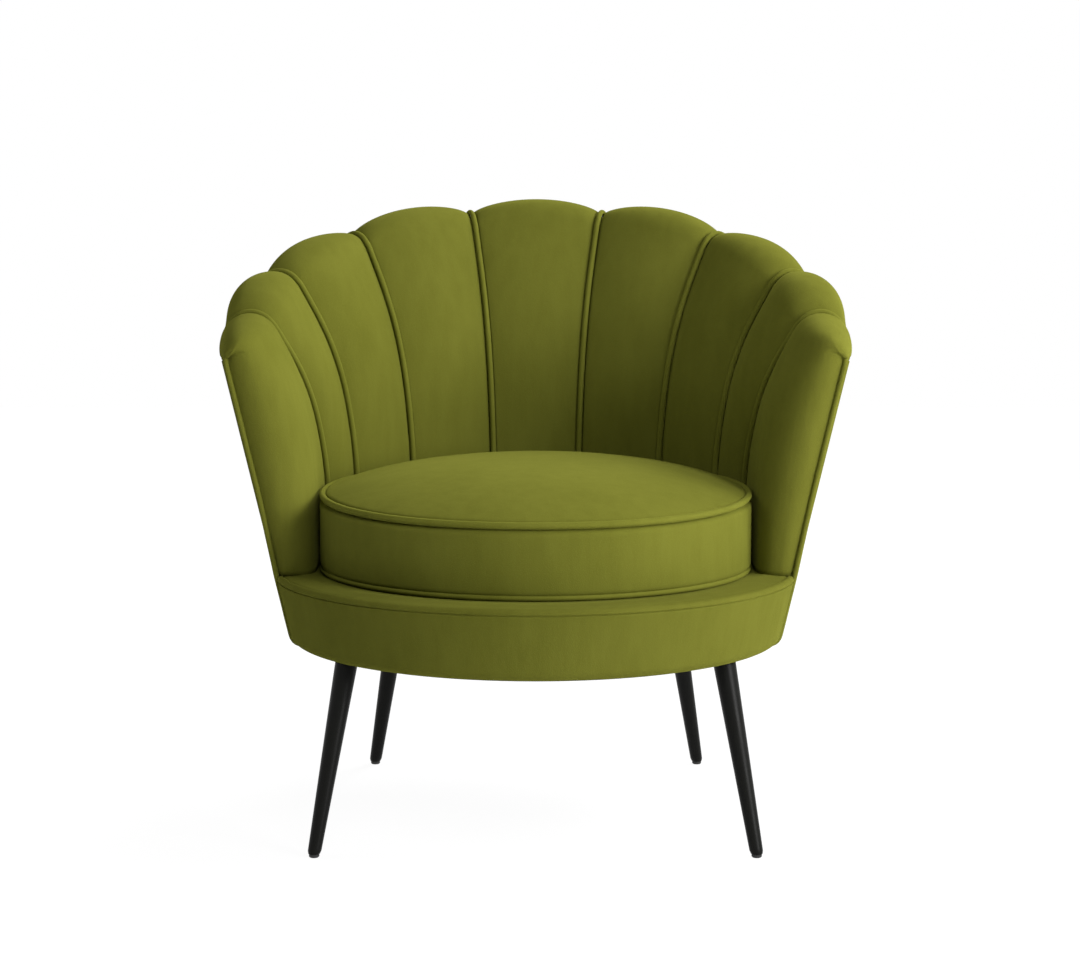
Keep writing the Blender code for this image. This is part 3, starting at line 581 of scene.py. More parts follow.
# %% Sizes of the arm ends
NOSE_END = math.radians(121.0)
NOSE_ROOM = 0.045
NOSE_POWERS = (0.7, 0.9, 1.12)
ARM_SLOT = 0.0010
NOSE_EDGE_ANGLE = ARM_FRONT_ANGLE - 0.4
PLEAT = ((0.3781, 0.5716), (0.3711, 0.5816), (0.3655, 0.5847), (0.3591, 0.5858), (0.3477, 0.5838))
PLEAT_DEPTH = 0.0038
PLEAT_WIDTH = 0.0012
PLEAT_TURN = 1.0
CLOSED_SHARE = 0.01


def arm_edge():
    """Outer edge of an arm end as radius and height at each station, from the deck up to the tack line."""
    tack_r, tack_z = wall_section(ARM_FRONT_ANGLE, LIP)
    normal_r, normal_z = wall_normal(ARM_FRONT_ANGLE, LIP)
    tack_r, tack_z = tack_r - ARM_EDGE_INSET * normal_r, tack_z - ARM_EDGE_INSET * normal_z
    foot_r = outer_radius(FOOT_Z) - ARM_EDGE_INSET / math.cos(FLARE)
    height = wall_section(ARM_FRONT_ANGLE, stations)[1]
    rise = np.clip((height - FOOT_Z) / (height[ROLL_START_ROW] - FOOT_Z), 0, 1)
    rise[ROLL_START_ROW:] = 1.0
    return mix(foot_r, tack_r, rise), mix(FOOT_Z, tack_z, rise)


def pleat_push(points, turned):
    """Small tuck at the top of the outer piping: how far it presses each point of a column back."""
    push = np.zeros(len(points))
    flat = np.stack((np.abs(points[:, 0]), points[:, 2]), axis=1)
    ends = np.array(PLEAT)
    for number, (start, end) in enumerate(zip(ends, ends[1:])):
        along = np.clip((flat - start) @ (end - start) / ((end - start) @ (end - start)), 0, 1)
        off = np.linalg.norm(flat - (start + along[:, None] * (end - start)), axis=1)
        fade = 1 - (number + along) / len(PLEAT)
        push = np.maximum(push, fade * np.exp(-(off / PLEAT_WIDTH) ** 2))
    return PLEAT_DEPTH * push * min(max(turned - PLEAT_TURN, 0.0), 1.0)


print("arm ends turn through", round(math.degrees(NOSE_END)), "degrees")


# %% Sew the arm ends
def arm_flute(number, side, half_columns=20, turns=64):
    station = stations[:, None]
    seam = seam_line(len(SEAM_SEAT_ANGLES), station)
    radius = wall_section(seam, station)[0]
    seat = seam + np.degrees((SEAM_HALF + ARM_SLOT) / radius)
    slot = seam + np.degrees((SEAM_HALF + ARM_SLOT - SEAM_WALL) / radius)
    slit = seam + np.degrees(GAP / 2 / radius)
    across = np.cos(np.linspace(0, math.pi / 2, half_columns))[None, :]
    half = mix(seat, ARM_FRAME_ANGLE, 1 - across)
    angle = np.concatenate((slit, slot, half), axis=1)
    even = mix(slit, ARM_FRAME_ANGLE, np.linspace(0, 1, angle.shape[1])[None, :])
    outward = wall_outward(side * angle, station)
    shown = [wall_point(side * angle, station, 0.0)]
    hidden = [wall_point(side * even, station, -pad(station))]
    rise = seam_swell(arm_crown(station), np.clip(1 - across ** 2, 0, 1) ** crown_power(station))
    swell = [outward * np.concatenate((seam_floor(station), rise), axis=1)[..., None]]
    free = [np.broadcast_to((angle - seat) * math.pi / 180 * radius, angle.shape)]
    core = hidden[0][:, -1]
    edge_r, edge_z = arm_edge()
    last = polar(side * NOSE_EDGE_ANGLE, edge_r, edge_z)
    front_r, front_z = wall_section(ARM_FRONT_ANGLE, stations)
    room = np.clip(np.hypot(front_r - edge_r, front_z - edge_z) / NOSE_ROOM, 0, 1)
    power = np.interp(front_z, (FOOT_Z, LUMBAR_Z, front_z[ROLL_START_ROW]), NOSE_POWERS)
    for turned in np.linspace(0, NOSE_END, turns + 1)[1:]:
        early = turned < math.pi / 2
        across = math.cos(turned) ** power if early else np.full(len(stations), math.cos(turned))
        ahead = math.sin(turned) ** power if early else np.full(len(stations), math.sin(turned))
        share = (across - math.cos(NOSE_END)) / (1 - math.cos(NOSE_END))
        plain = ahead if early else 1.0
        swung = mix(ARM_FRAME_ANGLE, NOSE_EDGE_ANGLE, mix(plain, ahead / math.sin(NOSE_END), room))
        valley_r, valley_z = wall_section(swung, stations)
        column = polar(side * swung, mix(edge_r, valley_r, share), mix(edge_z, valley_z, share))
        forward = np.stack((side * np.cos(np.radians(swung)), -np.sin(np.radians(swung)), 0 * swung), axis=1)
        push = wall_outward(side * swung, stations) * (share * arm_crown(stations))[:, None]
        push = push - forward * pleat_push(column, turned)[:, None]
        shown.append(column[:, None])
        inside = mix(core, last, 1 - share[:, None]) if share.max() > CLOSED_SHARE else column
        hidden.append(inside[:, None])
        swell.append(push[:, None])
        free.append(np.full((len(stations), 1), PUCKER_REACH))
    outward = np.concatenate([outward] + [wall_outward(side * ARM_FRAME_ANGLE, station)] * turns, axis=1)
    parts = [np.concatenate(columns, axis=1) for columns in (shown, hidden, swell)]
    sew(number, *parts, outward, np.concatenate(free, axis=1))


ROLL_START_ROW = int(np.searchsorted(stations, ROLL_START))
arm_flute(1, -1)
arm_flute(9, 1)

# %% [markdown]
# Piping
#
# Piping is a cord in a strip of bias-cut cloth, sewn into a seam so that only the cord shows. It follows a
# path, so a geometry tree sweeps a small circle along a curve, and lets the radius breathe slightly as hand
# fed cord does. One tree serves the seams between the flutes, the outer edge and the cushion.


# %% Piping tree
def piping_tree():
    inputs = {"Radius": "Float", "Spacing": "Float", "Unevenness": "Float", "Cover": "Material"}
    tree, given, result = new_tree("piping", inputs)
    even = put(tree, "GeometryNodeResampleCurve", {"Curve": given["Geometry"], "Length": given["Spacing"]},
               mode="LENGTH")
    where = tree.nodes.new("GeometryNodeInputPosition").outputs[0]
    swell = noise_out(tree, where, scale=70.0, detail=1.0)
    swing = math_out(tree, "MULTIPLY", math_out(tree, "SUBTRACT", swell, 0.5), given["Unevenness"])
    ring = put(tree, "GeometryNodeCurvePrimitiveCircle", {"Resolution": 14, "Radius": given["Radius"]})
    sockets = {"Curve": even.outputs[0], "Profile Curve": ring.outputs[0], "Fill Caps": True,
               "Scale": math_out(tree, "ADD", swing, 1.0)}
    swept = put(tree, "GeometryNodeCurveToMesh", sockets)
    smooth = put(tree, "GeometryNodeSetShadeSmooth", {"Geometry": swept.outputs[0]})
    return dress(tree, smooth.outputs[0], given["Cover"], result)


cord_tree = piping_tree()
SINK_DEPTH = 0.0040
SINK_STATIONS = (10.5, 12.5)
ARM_SINK_STATIONS = (9, 11)
PROUD_HEIGHT = 0.0018
PROUD_STATIONS = (5, 7, 9, 10)
EDGE_CORD_RADIUS = 0.0033


def lay_piping(name, points, body, node, radius=WELT_RADIUS, closed=False):
    # The piping wears the lighter copy of the velvet, a painted highlight.
    values = {"Radius": radius, "Spacing": 0.004, "Unevenness": 0.10, "Cover": painted_highlight_velvet}
    cord = tidy_mesh(grow(add_path(name, points, closed), cord_tree, values))
    mount(cord, body, "piping", node)
    print(cord.name, len(cord.data.polygons), "faces")


for number, seam in enumerate(seams, start=1):
    by_arm = abs(seam) == len(SEAM_SEAT_ANGLES)
    sunk = eased(stations, ARM_SINK_STATIONS if by_arm else SINK_STATIONS, (0.0, SINK_DEPTH))
    proud = eased(stations, PROUD_STATIONS, (0.0, PROUD_HEIGHT, PROUD_HEIGHT, 0.0)) if by_arm else 0.0
    seat = WELT_SEAT - sunk + proud
    line = wall_point(seam_line(seam, stations), stations, seat)
    lay_piping(f"flute_piping_{number}", line, "chair", f"flute_welt_{number}")

# %% [markdown]
# Outside back, apron and outer piping
#
# The outside of the chair is plain cloth pulled tight over the frame: one piece round the back, and one
# round the front of the drum. Both tuck under the bottom edge. The apron turns over the rim on to the deck,
# and a seam runs along its front just under the rim, where it shows as a fine line. Piping closes the edge
# of each arm front and goes on round the top of the outside back.

# %% Sizes of the covers
COVER_THICKNESS = 0.004
COVER_TUCK = 0.009
RIM_RADIUS = 0.0055
EDGE_DIP = 0.0022
END_INSETS = (0.0016, 0.0022, 0.0024)
END_DROPS = (0.0004, 0.0013, EDGE_DIP)
SEAM_CREASE = 0.0014
SEAM_WIDTH = 0.0008
SEAM_REACH = 0.004
EDGE_WELT_INSETS = (0.0008, 0.0036)
TOP_WELT_ANGLES = (70.0, 90.0, 102.0)
TOP_WELT_INSETS = (0.0008, 0.0015, 0.0060)
CORNER_LIFT = 0.006
WELT_ANGLE = math.degrees(WELT_SEAT / BASE_RADIUS)
EDGE_CENTRE_Z = BASE_Z + BASE_EDGE_RADIUS
EDGE_CENTRE_R = outer_radius(EDGE_CENTRE_Z) - BASE_EDGE_RADIUS / math.cos(FLARE)


def tack_height(angle):
    """Height of the piping under the roll, on the outside."""
    corner = eased(np.abs(angle), ARM_LIFT_ANGLES, (0.0, CORNER_LIFT))
    return wall_section(angle, LIP)[1] - WELT_SEAT * math.cos(FLARE) + corner


def bottom_edge(steps=12):
    """Section of the tucked bottom edge, as rows of radius and height."""
    turned = np.linspace(-math.pi / 2, -FLARE, steps)
    radius = np.concatenate(([EDGE_CENTRE_R - COVER_TUCK], EDGE_CENTRE_R + BASE_EDGE_RADIUS * np.cos(turned)))
    height = np.concatenate(([BASE_Z], EDGE_CENTRE_Z + BASE_EDGE_RADIUS * np.sin(turned)))
    return radius, height


def cover_shell(name, angles, sections, material):
    """Cloth of even thickness from sections of radius and height, one for each angle."""
    shown = []
    hidden = []
    for angle, (radius, height) in zip(angles, sections):
        slope_r, slope_z = np.gradient(radius), np.gradient(height)
        length = np.hypot(slope_r, slope_z)
        inner_r = radius - COVER_THICKNESS * slope_z / length
        inner_z = height + COVER_THICKNESS * slope_r / length
        shown.append(polar(angle, radius, height))
        hidden.append(polar(angle, inner_r, inner_z))
    return shell(name, np.stack(shown, axis=1), np.stack(hidden, axis=1), material)


print("bottom edge turns about radius", round(float(EDGE_CENTRE_R), 4))

# %% Outside back
limit = ARM_FRONT_ANGLE - WELT_ANGLE
angles = np.linspace(-limit, limit, 141)
edge_r, edge_z = bottom_edge()
sections = []
for angle in angles:
    top = float(tack_height(angle)) - EDGE_CORD_RADIUS * math.cos(FLARE)
    rise = np.linspace(edge_z[-1], top, 30)[1:]
    sections.append((np.concatenate((edge_r, outer_radius(rise))), np.concatenate((edge_z, rise))))
outside = cover_shell("outside_back_cover", angles, sections, velvet)
mount(outside, "chair", "velvet", "outside_back")
print(outside.name, len(outside.data.polygons), "faces")

# %% Apron
limit = ARM_FRONT_ANGLE + WELT_ANGLE
angles = np.linspace(limit, 360 - limit, 121)
rim_start = DECK_Z - RIM_RADIUS
rise = np.concatenate((np.linspace(edge_z[-1], rim_start - 2 * SEAM_REACH, 12)[1:],
                       np.linspace(rim_start - 2 * SEAM_REACH, rim_start, 36)[1:]))
crease = SEAM_CREASE * np.exp(-((rise - rim_start + SEAM_REACH / 2) / SEAM_WIDTH) ** 2)
turned = np.linspace(0, math.pi / 2, 14)[1:]
rim_r = outer_radius(rim_start) - RIM_RADIUS + RIM_RADIUS * np.cos(turned)
rim_z = rim_start + RIM_RADIUS * np.sin(turned)
end_r = rim_r[-1] - np.array(END_INSETS)
end_z = DECK_Z - np.array(END_DROPS)
section = (np.concatenate((edge_r, outer_radius(rise) - crease, rim_r, end_r)),
           np.concatenate((edge_z, rise, rim_z, end_z)))
# The apron wears the darker copy of the velvet, which is painted shade.
apron = cover_shell("apron_cover_cloth", angles, [section] * len(angles), painted_shade_velvet)
mount(apron, "chair", "velvet", "apron_cover")
print(apron.name, len(apron.data.polygons), "faces")


# %% Outer piping
def ease_corners(points, rounds):
    for _ in range(rounds):
        points[1:-1] = (points[:-2] + 2 * points[1:-1] + points[2:]) / 4
    return points


def edge_side(side):
    """Path from under the drum up the arm front."""
    radius, height = bottom_edge()
    top = float(tack_height(ARM_FRONT_ANGLE))
    rise = np.linspace(height[-1], top, 150)[1:]
    height = np.concatenate((height[1:], rise))
    inset = np.interp(height, (FOOT_Z, LUMBAR_Z), EDGE_WELT_INSETS)
    return polar(side * ARM_FRONT_ANGLE, np.concatenate((radius[1:], outer_radius(rise))) - inset, height)


round_top = np.linspace(ARM_FRONT_ANGLE, -ARM_FRONT_ANGLE, 600)[1:-1]
top_z = tack_height(round_top)
top_r = outer_radius(top_z) - np.interp(np.abs(round_top), TOP_WELT_ANGLES, TOP_WELT_INSETS)
edge_path = np.concatenate((edge_side(1), polar(round_top, top_r, top_z), edge_side(-1)[::-1]))
lay_piping("edge_piping", ease_corners(edge_path, 6), "chair", "edge_welt", EDGE_CORD_RADIUS)

# %% [markdown]
# Deck
#
# Under the cushion lies a thin padded deck. At the front it shows as a narrow ledge between the cushion and
# the apron, so it gets a soft edge that dips where it meets the apron. Behind, it runs in under the flutes.

# %% Cover the deck
DECK_PAD_THICKNESS = 0.015
DECK_PAD_SEAT = 0.012
DECK_INSET = 0.0026
DECK_END = ((0.992, 0.0003), (0.997, 0.0010), (1.0, EDGE_DIP))
DECK_FLAT_END = 0.84
LEDGE_START = 0.85
LEDGE_END = 0.985
LEDGE_SWELL = 0.0012
POLE_MERGE = 1e-5


def full_round(count):
    """Angles of a closed round, whose last column is its first."""
    return np.append(np.linspace(-180, 180, count, endpoint=False), -180.0)


angles = full_round(180)
front = np.abs(angles) > ARM_FRAME_ANGLE + 3 * WELT_ANGLE
edge = np.where(front, rim_r[-1] - DECK_INSET, INNER_RADIUS + DECK_PAD_SEAT)
shares = np.concatenate((np.linspace(0, DECK_FLAT_END, 12), np.linspace(LEDGE_START, LEDGE_END, 12)))
ledge = np.clip((shares - LEDGE_START) / (LEDGE_END - LEDGE_START), 0, 1)
heights = list(LEDGE_SWELL * np.sin(math.pi * ledge) ** 2) + [-drop for share, drop in DECK_END]
shares = list(shares) + [share for share, drop in DECK_END]
deck_rows = zip(shares, heights)
shown = np.stack([polar(angles, edge * share, DECK_Z - GAP + height) for share, height in deck_rows])
hidden = shown * (1, 1, 0) + (0, 0, DECK_Z - DECK_PAD_THICKNESS)
# The deck wears the same darker copy of the velvet, painted shade.
deck = tidy_mesh(shell("deck_cover", shown, hidden, painted_shade_velvet), POLE_MERGE)
mount(deck, "chair", "velvet", "deck_pad")
print(deck.name, len(deck.data.polygons), "faces")

# %% [markdown]
# Loose cushion
#
# The cushion is a round box of velvet over foam. Foam pushes the top panel up into a dome and the boxing
# out between its two seams. That is what a cloth simulation with pressure does, so the cushion starts a
# little lean, is remeshed evenly, pinned along its seams and its flat underside, and inflated for twenty
# frames. The dome is then set to the height of the solid, the boxing is squared, the seams are pressed back
# in, and the top seam is raised towards the back.

# %% Start shape of the cushion
welt_low, welt_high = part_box("cushion_welt_top")
pad_low, pad_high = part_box("seat_cushion")
SEAM_DROP = 0.0028
SEAM_INSET = 0.0024
SEAM_PROUD = {"top": 0.0, "bottom": 0.0008}
SEAM_LIFT = 0.0135
CLIMB_POWER = 1.5
CUSHION_WELT_RADII = {"top": 0.0042, "bottom": 0.0032}
WELT_REST = 0.0006
CUSHION_REST = 0.0004
BOX_REACH = 0.0046
BASE_INSET = 0.012
PIN_INSET = 0.003
BOXING_INSET = 0.002
LEAN_CROWN = 0.78
DOME_POWER = 2.5
DOME_EDGE = 0.006
VOXEL = 0.0055
CUSHION_CAP = 0.024
TOP_SEAM_Z = (welt_low.z + welt_high.z) / 2 - SEAM_DROP
BOTTOM_SEAM_Z = DECK_Z + CUSHION_WELT_RADII["bottom"] + WELT_REST
CUSHION_BOTTOM = pad_low.z + CUSHION_REST
CUSHION_TOP = pad_high.z
SEAM_RADIUS = (welt_high.x - welt_low.x) / 2 - CUSHION_WELT_RADII["top"] - SEAM_INSET
BOX_RADIUS = SEAM_RADIUS + BOX_REACH


def turned_mesh(name, profile, sides=128):
    """Turned body from rows of radius and height whose ends lie on the axis."""
    angles = np.linspace(-180, 180, sides, endpoint=False)
    rings = np.stack([polar(angles, radius, height) for radius, height in profile[1:-1]])
    verts = list(rings.reshape(-1, 3)) + [polar(0, 0.0, profile[0][1]), polar(0, 0.0, profile[-1][1])]
    faces = []
    for row in range(len(rings) - 1):
        for side in range(sides):
            after = (side + 1) % sides
            faces.append((row * sides + side, row * sides + after, (row + 1) * sides + after,
                          (row + 1) * sides + side))
    last = (len(rings) - 1) * sides
    for side in range(sides):
        after = (side + 1) % sides
        faces.append((len(verts) - 2, after, side))
        faces.append((len(verts) - 1, last + side, last + after))
    return tidy_mesh(add_mesh(name, verts, faces))


def dome(share):
    """Height of the dome over the top seam, as a share of its crown, at a share of the radius."""
    return math.sqrt(1 - share ** DOME_POWER)


lean_top = TOP_SEAM_Z + LEAN_CROWN * (CUSHION_TOP - TOP_SEAM_Z)
lean_radius = BOX_RADIUS - PIN_INSET
profile = [(0.0, CUSHION_BOTTOM), (BOX_RADIUS - BASE_INSET, CUSHION_BOTTOM), (lean_radius, BOTTOM_SEAM_Z)]
profile += [(BOX_RADIUS - BOXING_INSET, z) for z in np.linspace(BOTTOM_SEAM_Z, TOP_SEAM_Z, 8)[1:-1]]
for share in np.linspace(1.0, 0.0, 24):
    profile.append((share * lean_radius, TOP_SEAM_Z + dome(share) * (lean_top - TOP_SEAM_Z)))
cushion = turned_mesh("cushion_cover", profile)
print("lean cushion:", len(cushion.data.vertices), "points")


# %% Inflate the cushion
PIN_REACH = 0.004
TOP_PIN_DEPTH = 0.008
BASE_PIN_HEIGHT = 0.003
TINY = 1e-6


def axis_radius(points):
    return np.hypot(points[:, 0], points[:, 1] - DRUM_Y)


def inflate(piece, pinned, frames=20):
    """Even mesh, pins, pressure, and the result applied with its movement capped."""
    bpy.context.view_layer.objects.active = piece
    piece.data.remesh_voxel_size = VOXEL
    bpy.ops.object.voxel_remesh()
    points = np.array([vert.co for vert in piece.data.vertices])
    group = piece.vertex_groups.new(name="pins")
    group.add([int(index) for index in np.flatnonzero(pinned(points))], 1.0, "REPLACE")
    cloth = piece.modifiers.new("foam pressure", "CLOTH")
    cloth.settings.quality = 6
    cloth.settings.use_pressure = True
    cloth.settings.uniform_pressure_force = 4.0
    cloth.settings.tension_stiffness = 12.0
    cloth.settings.compression_stiffness = 12.0
    cloth.settings.bending_stiffness = 2.0
    cloth.settings.vertex_group_mass = "pins"
    cloth.settings.effector_weights.gravity = 0.0
    cloth.point_cache.frame_end = frames
    for number in range(1, frames + 1):
        bpy.context.scene.frame_set(number)
    graph = bpy.context.evaluated_depsgraph_get()
    settled = np.array([vert.co for vert in piece.evaluated_get(graph).data.vertices])
    bpy.context.scene.frame_set(1)
    piece.modifiers.remove(cloth)
    move = settled - points
    far = np.linalg.norm(move, axis=1, keepdims=True)
    points = points + move * np.minimum(1.0, CUSHION_CAP / np.maximum(far, TINY))
    print("largest movement:", round(float(far.max()) * 1000, 1), "mm")
    return points


def seam_pins(points):
    radius, height = axis_radius(points), points[:, 2]
    near_top = (np.abs(height - TOP_SEAM_Z) < PIN_REACH) & (radius > BOX_RADIUS - TOP_PIN_DEPTH)
    near_base = (np.abs(height - BOTTOM_SEAM_Z) < PIN_REACH) & (radius > BOX_RADIUS - BASE_INSET)
    return near_top | near_base | (height < CUSHION_BOTTOM + BASE_PIN_HEIGHT)


points = inflate(cushion, seam_pins)
print("inflated cushion:", len(points), "points")

# %% Shaping of the cushion
SEAM_BAND = 0.02
BOXING_BULGE = 0.35
BOXING_SLACK = 0.0008
BOXING_MARGIN = 0.002
ALL_ROUNDS = 6
DOME_ROUNDS = 40


def relax(piece, rounds, lowest=0.0):
    """Even out the steps that remeshing leaves, above a height."""
    bm = bmesh.new()
    bm.from_mesh(piece.data)
    verts = [vert for vert in bm.verts if vert.co.z > lowest]
    for _ in range(rounds):
        bmesh.ops.smooth_vert(bm, verts=verts, factor=0.5, use_axis_x=True, use_axis_y=True, use_axis_z=True)
    bm.to_mesh(piece.data)
    bm.free()


def raise_seam(y):
    """The boxing is taller towards the back, so the top seam climbs from the front edge."""
    climb = np.clip((np.asarray(y) - DRUM_Y + SEAM_RADIUS) / SEAM_RADIUS, 0, 2)
    return SEAM_LIFT * np.sin(climb * math.pi / 4) ** CLIMB_POWER


def slope_top(points):
    """Lift the boxing with the top seam, and leave the top of the dome where it is."""
    boxing = np.clip((points[:, 2] - BOTTOM_SEAM_Z) / (TOP_SEAM_Z - BOTTOM_SEAM_Z), 0, 1)
    domed = np.clip((points[:, 2] - TOP_SEAM_Z) / (CUSHION_TOP - TOP_SEAM_Z), 0, 1)
    points[:, 2] += raise_seam(points[:, 1]) * boxing * (1 - domed)
    return points


def set_radius(points, radius, wanted):
    """Move points to another distance from the axis."""
    scale = wanted / np.maximum(radius, TINY)
    points[:, 0] *= scale
    points[:, 1] = DRUM_Y + (points[:, 1] - DRUM_Y) * scale
    return points


def press_seam(points, seam_z, depth, width):
    """Pull the cloth in along a seam."""
    radius = axis_radius(points)
    near = np.exp(-((points[:, 2] - seam_z) / width) ** 2) * (radius > BOX_RADIUS - SEAM_BAND)
    return set_radius(points, radius, radius - depth * near)


def square_boxing(points):
    """Bring the boxing out to the full box, where pressure alone leaves it drawn in at the seams."""
    radius, height = axis_radius(points), points[:, 2]
    between = (height > BOTTOM_SEAM_Z - BOXING_MARGIN) & (height < TOP_SEAM_Z)
    boxing = between & (radius > BOX_RADIUS - BASE_INSET)
    full = BOX_RADIUS - BOXING_SLACK
    flat = full + BOXING_BULGE * np.maximum(radius - full, 0)
    return set_radius(points, radius, np.where(boxing, flat, radius))


def set_dome(points):
    """Bring the dome to the height of the solid."""
    above = np.clip(points[:, 2] - TOP_SEAM_Z, 0, None)
    points[:, 2] += above * ((CUSHION_TOP - TOP_SEAM_Z) / above.max() - 1)
    return points


points = set_dome(points)
points[:, 2] = np.maximum(points[:, 2], CUSHION_BOTTOM)
cushion.data.vertices.foreach_set("co", points.ravel())
relax(cushion, ALL_ROUNDS)
relax(cushion, DOME_ROUNDS, TOP_SEAM_Z + DOME_EDGE)
print("dome set to", round(1000 * (CUSHION_TOP - TOP_SEAM_Z), 1), "mm over its seam")

# %% Finish the cushion
PRESS_DROP = 0.0028
TOP_PRESS = {"seam_z": TOP_SEAM_Z - PRESS_DROP, "depth": 0.0078, "width": 0.0042}
BOTTOM_PRESS = {"seam_z": BOTTOM_SEAM_Z, "depth": 0.0042, "width": 0.0030}
finer = cushion.modifiers.new("finer", "SUBSURF")
finer.levels = finer.render_levels = 1
graph = bpy.context.evaluated_depsgraph_get()
smooth_mesh = bpy.data.meshes.new_from_object(cushion.evaluated_get(graph))
cushion.modifiers.remove(finer)
cushion.data = smooth_mesh
points = square_boxing(set_dome(np.array([vert.co for vert in smooth_mesh.vertices])))
points = press_seam(press_seam(points, **TOP_PRESS), **BOTTOM_PRESS)
points[:, 2] = np.maximum(points[:, 2], CUSHION_BOTTOM)
points = slope_top(points)
smooth_mesh.vertices.foreach_set("co", points.ravel())
cushion.vertex_groups.clear()
smooth_mesh.materials.clear()
smooth_mesh.materials.append(velvet)
tidy_mesh(cushion)
mount(cushion, "cushion", "velvet", "seat_cushion")
for name, height in (("top", TOP_SEAM_Z), ("bottom", BOTTOM_SEAM_Z)):
    ring = polar(np.linspace(0, 360, 240, endpoint=False), SEAM_RADIUS + SEAM_PROUD[name], height)
    if name == "top":
        ring[:, 2] += raise_seam(ring[:, 1])
    radius = CUSHION_WELT_RADII[name]
    lay_piping(f"cushion_piping_{name}", ring, "cushion", f"cushion_welt_{name}", radius, closed=True)
print(cushion.name, len(smooth_mesh.polygons), "faces")

# %% [markdown]
# Zip in the boxing
#
# The cushion cover comes off through a zip at the back of the boxing, where the wall hides it. A zip is a
# tape with two rows of small teeth that interlock. The teeth repeat along a path, so a geometry tree sets
# one tooth on every point of a curve and turns it to follow the tape.


# %% Tooth and staple tree
def row_tree(name):
    """Instances of a small block along a path, with the X axis of the block laid along the path."""
    inputs = {"Spacing": "Float", "Block Size": "Vector", "Finish": "Material"}
    tree, given, result = new_tree(name, inputs)
    spots = put(tree, "GeometryNodeCurveToPoints", {"Curve": given["Geometry"], "Length": given["Spacing"]},
                mode="LENGTH")
    block = put(tree, "GeometryNodeMeshCube", {"Size": given["Block Size"]})
    along = put(tree, "FunctionNodeAlignRotationToVector", {"Vector": spots.outputs["Tangent"]}, axis="X")
    sockets = {"Points": spots.outputs["Points"], "Instance": block.outputs[0], "Rotation": along.outputs[0]}
    row = put(tree, "GeometryNodeInstanceOnPoints", sockets)
    return dress(tree, row.outputs[0], given["Finish"], result)


block_tree = row_tree("block_row")
print("row tree has", len(block_tree.nodes), "nodes")


# %% Zip finishes
def woven_finish(name, colour, pitch, roughness=0.8):
    """Flat woven tape: two crossed waves give the ribs of the weave."""
    material, tree, shader, where = new_finish(name)
    turned = put(tree, "ShaderNodeMapping", {"Vector": where, "Rotation": (0.0, 0.0, math.pi / 4)}).outputs[0]
    warp, weft = (put(tree, "ShaderNodeTexWave", {"Vector": turned, "Scale": pitch}, bands_direction=axis)
                  for axis in ("X", "Y"))
    weave = math_out(tree, "MAXIMUM", warp.outputs["Fac"], weft.outputs["Fac"])
    wear = noise_out(tree, where, scale=40.0, detail=3.0)
    dark = tuple(0.6 * channel for channel in colour)
    worn = blend_colour(tree, wear, colour, tuple(1.3 * channel for channel in colour))
    rough = span_out(tree, wear, roughness - 0.1, roughness + 0.1)
    ribs = bump_out(tree, weave, strength=0.5, distance=0.0005)
    set_surface(tree, shader, blend_colour(tree, weave, dark, worn), rough, ribs)
    return material


def mottled_finish(name, low, high, roughness, scale=60.0, metallic=0.0):
    """Moulded or plated surface: two tones by a noise that also drives roughness and a light bump."""
    material, tree, shader, where = new_finish(name)
    mottle = noise_out(tree, where, scale, detail=4.0)
    shader.inputs["Metallic"].default_value = metallic
    grain = bump_out(tree, noise_out(tree, where, 8 * scale), strength=0.3, distance=0.0002)
    colour = blend_colour(tree, mottle, low, high)
    set_surface(tree, shader, colour, span_out(tree, mottle, *roughness), grain)
    return material


tape = woven_finish("tape_weave", (0.09, 0.095, 0.022), 420.0)
nylon = mottled_finish("zip_nylon", (0.07, 0.074, 0.02), (0.10, 0.105, 0.03), (0.35, 0.5))
zinc = mottled_finish("zinc_plate", (0.52, 0.52, 0.50), (0.68, 0.68, 0.66), (0.25, 0.45), 90.0, 1.0)
print("zip finishes:", tape.name, nylon.name, zinc.name)

# %% Set the zip
ZIP_HALF_ANGLE = 33.0
ZIP_BAND = 0.01
TAPE_LIFT = 0.0002
TAPE_THICKNESS = 0.0008
TAPE_BACK = 0.0006
TAPE_DIP = 0.0003
TAPE_SLIT = 0.002
TAPE_EDGE = 0.94
TOOTH_SIZE = Vector((0.0013, 0.0012, 0.0016))
TOOTH_PITCH = 0.0022
TOOTH_LIFT = 0.0011
TOOTH_ROW = 0.0009
zip_low, zip_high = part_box("cushion_zip")
ZIP_Z = (zip_low.z + zip_high.z) / 2
ZIP_HALF_WIDTH = (zip_high.z - zip_low.z) / 2
tape_angles = np.linspace(-ZIP_HALF_ANGLE, ZIP_HALF_ANGLE, 90)
cushion_points = np.array([vert.co for vert in cushion.data.vertices])
behind = (np.abs(cushion_points[:, 2] - ZIP_Z) < ZIP_BAND) & (cushion_points[:, 1] > DRUM_Y)
TAPE_RADIUS = float(axis_radius(cushion_points[behind]).max()) + TAPE_LIFT
half_tape = ((TAPE_THICKNESS, TAPE_SLIT), (TAPE_THICKNESS, TAPE_EDGE * ZIP_HALF_WIDTH), (0.0, ZIP_HALF_WIDTH))
tape_rows = [(lift, -height) for lift, height in reversed(half_tape)] + [(TAPE_DIP, 0.0), *half_tape]
shown = np.stack([polar(tape_angles, TAPE_RADIUS + lift, ZIP_Z + height) for lift, height in tape_rows])
hidden = np.stack([polar(tape_angles, TAPE_RADIUS - TAPE_BACK, ZIP_Z + height) for lift, height in tape_rows])
zip_tape = shell("zip_tape_strip", shown, hidden, tape)
mount(zip_tape, "cushion", "zip_tape", "cushion_zip")
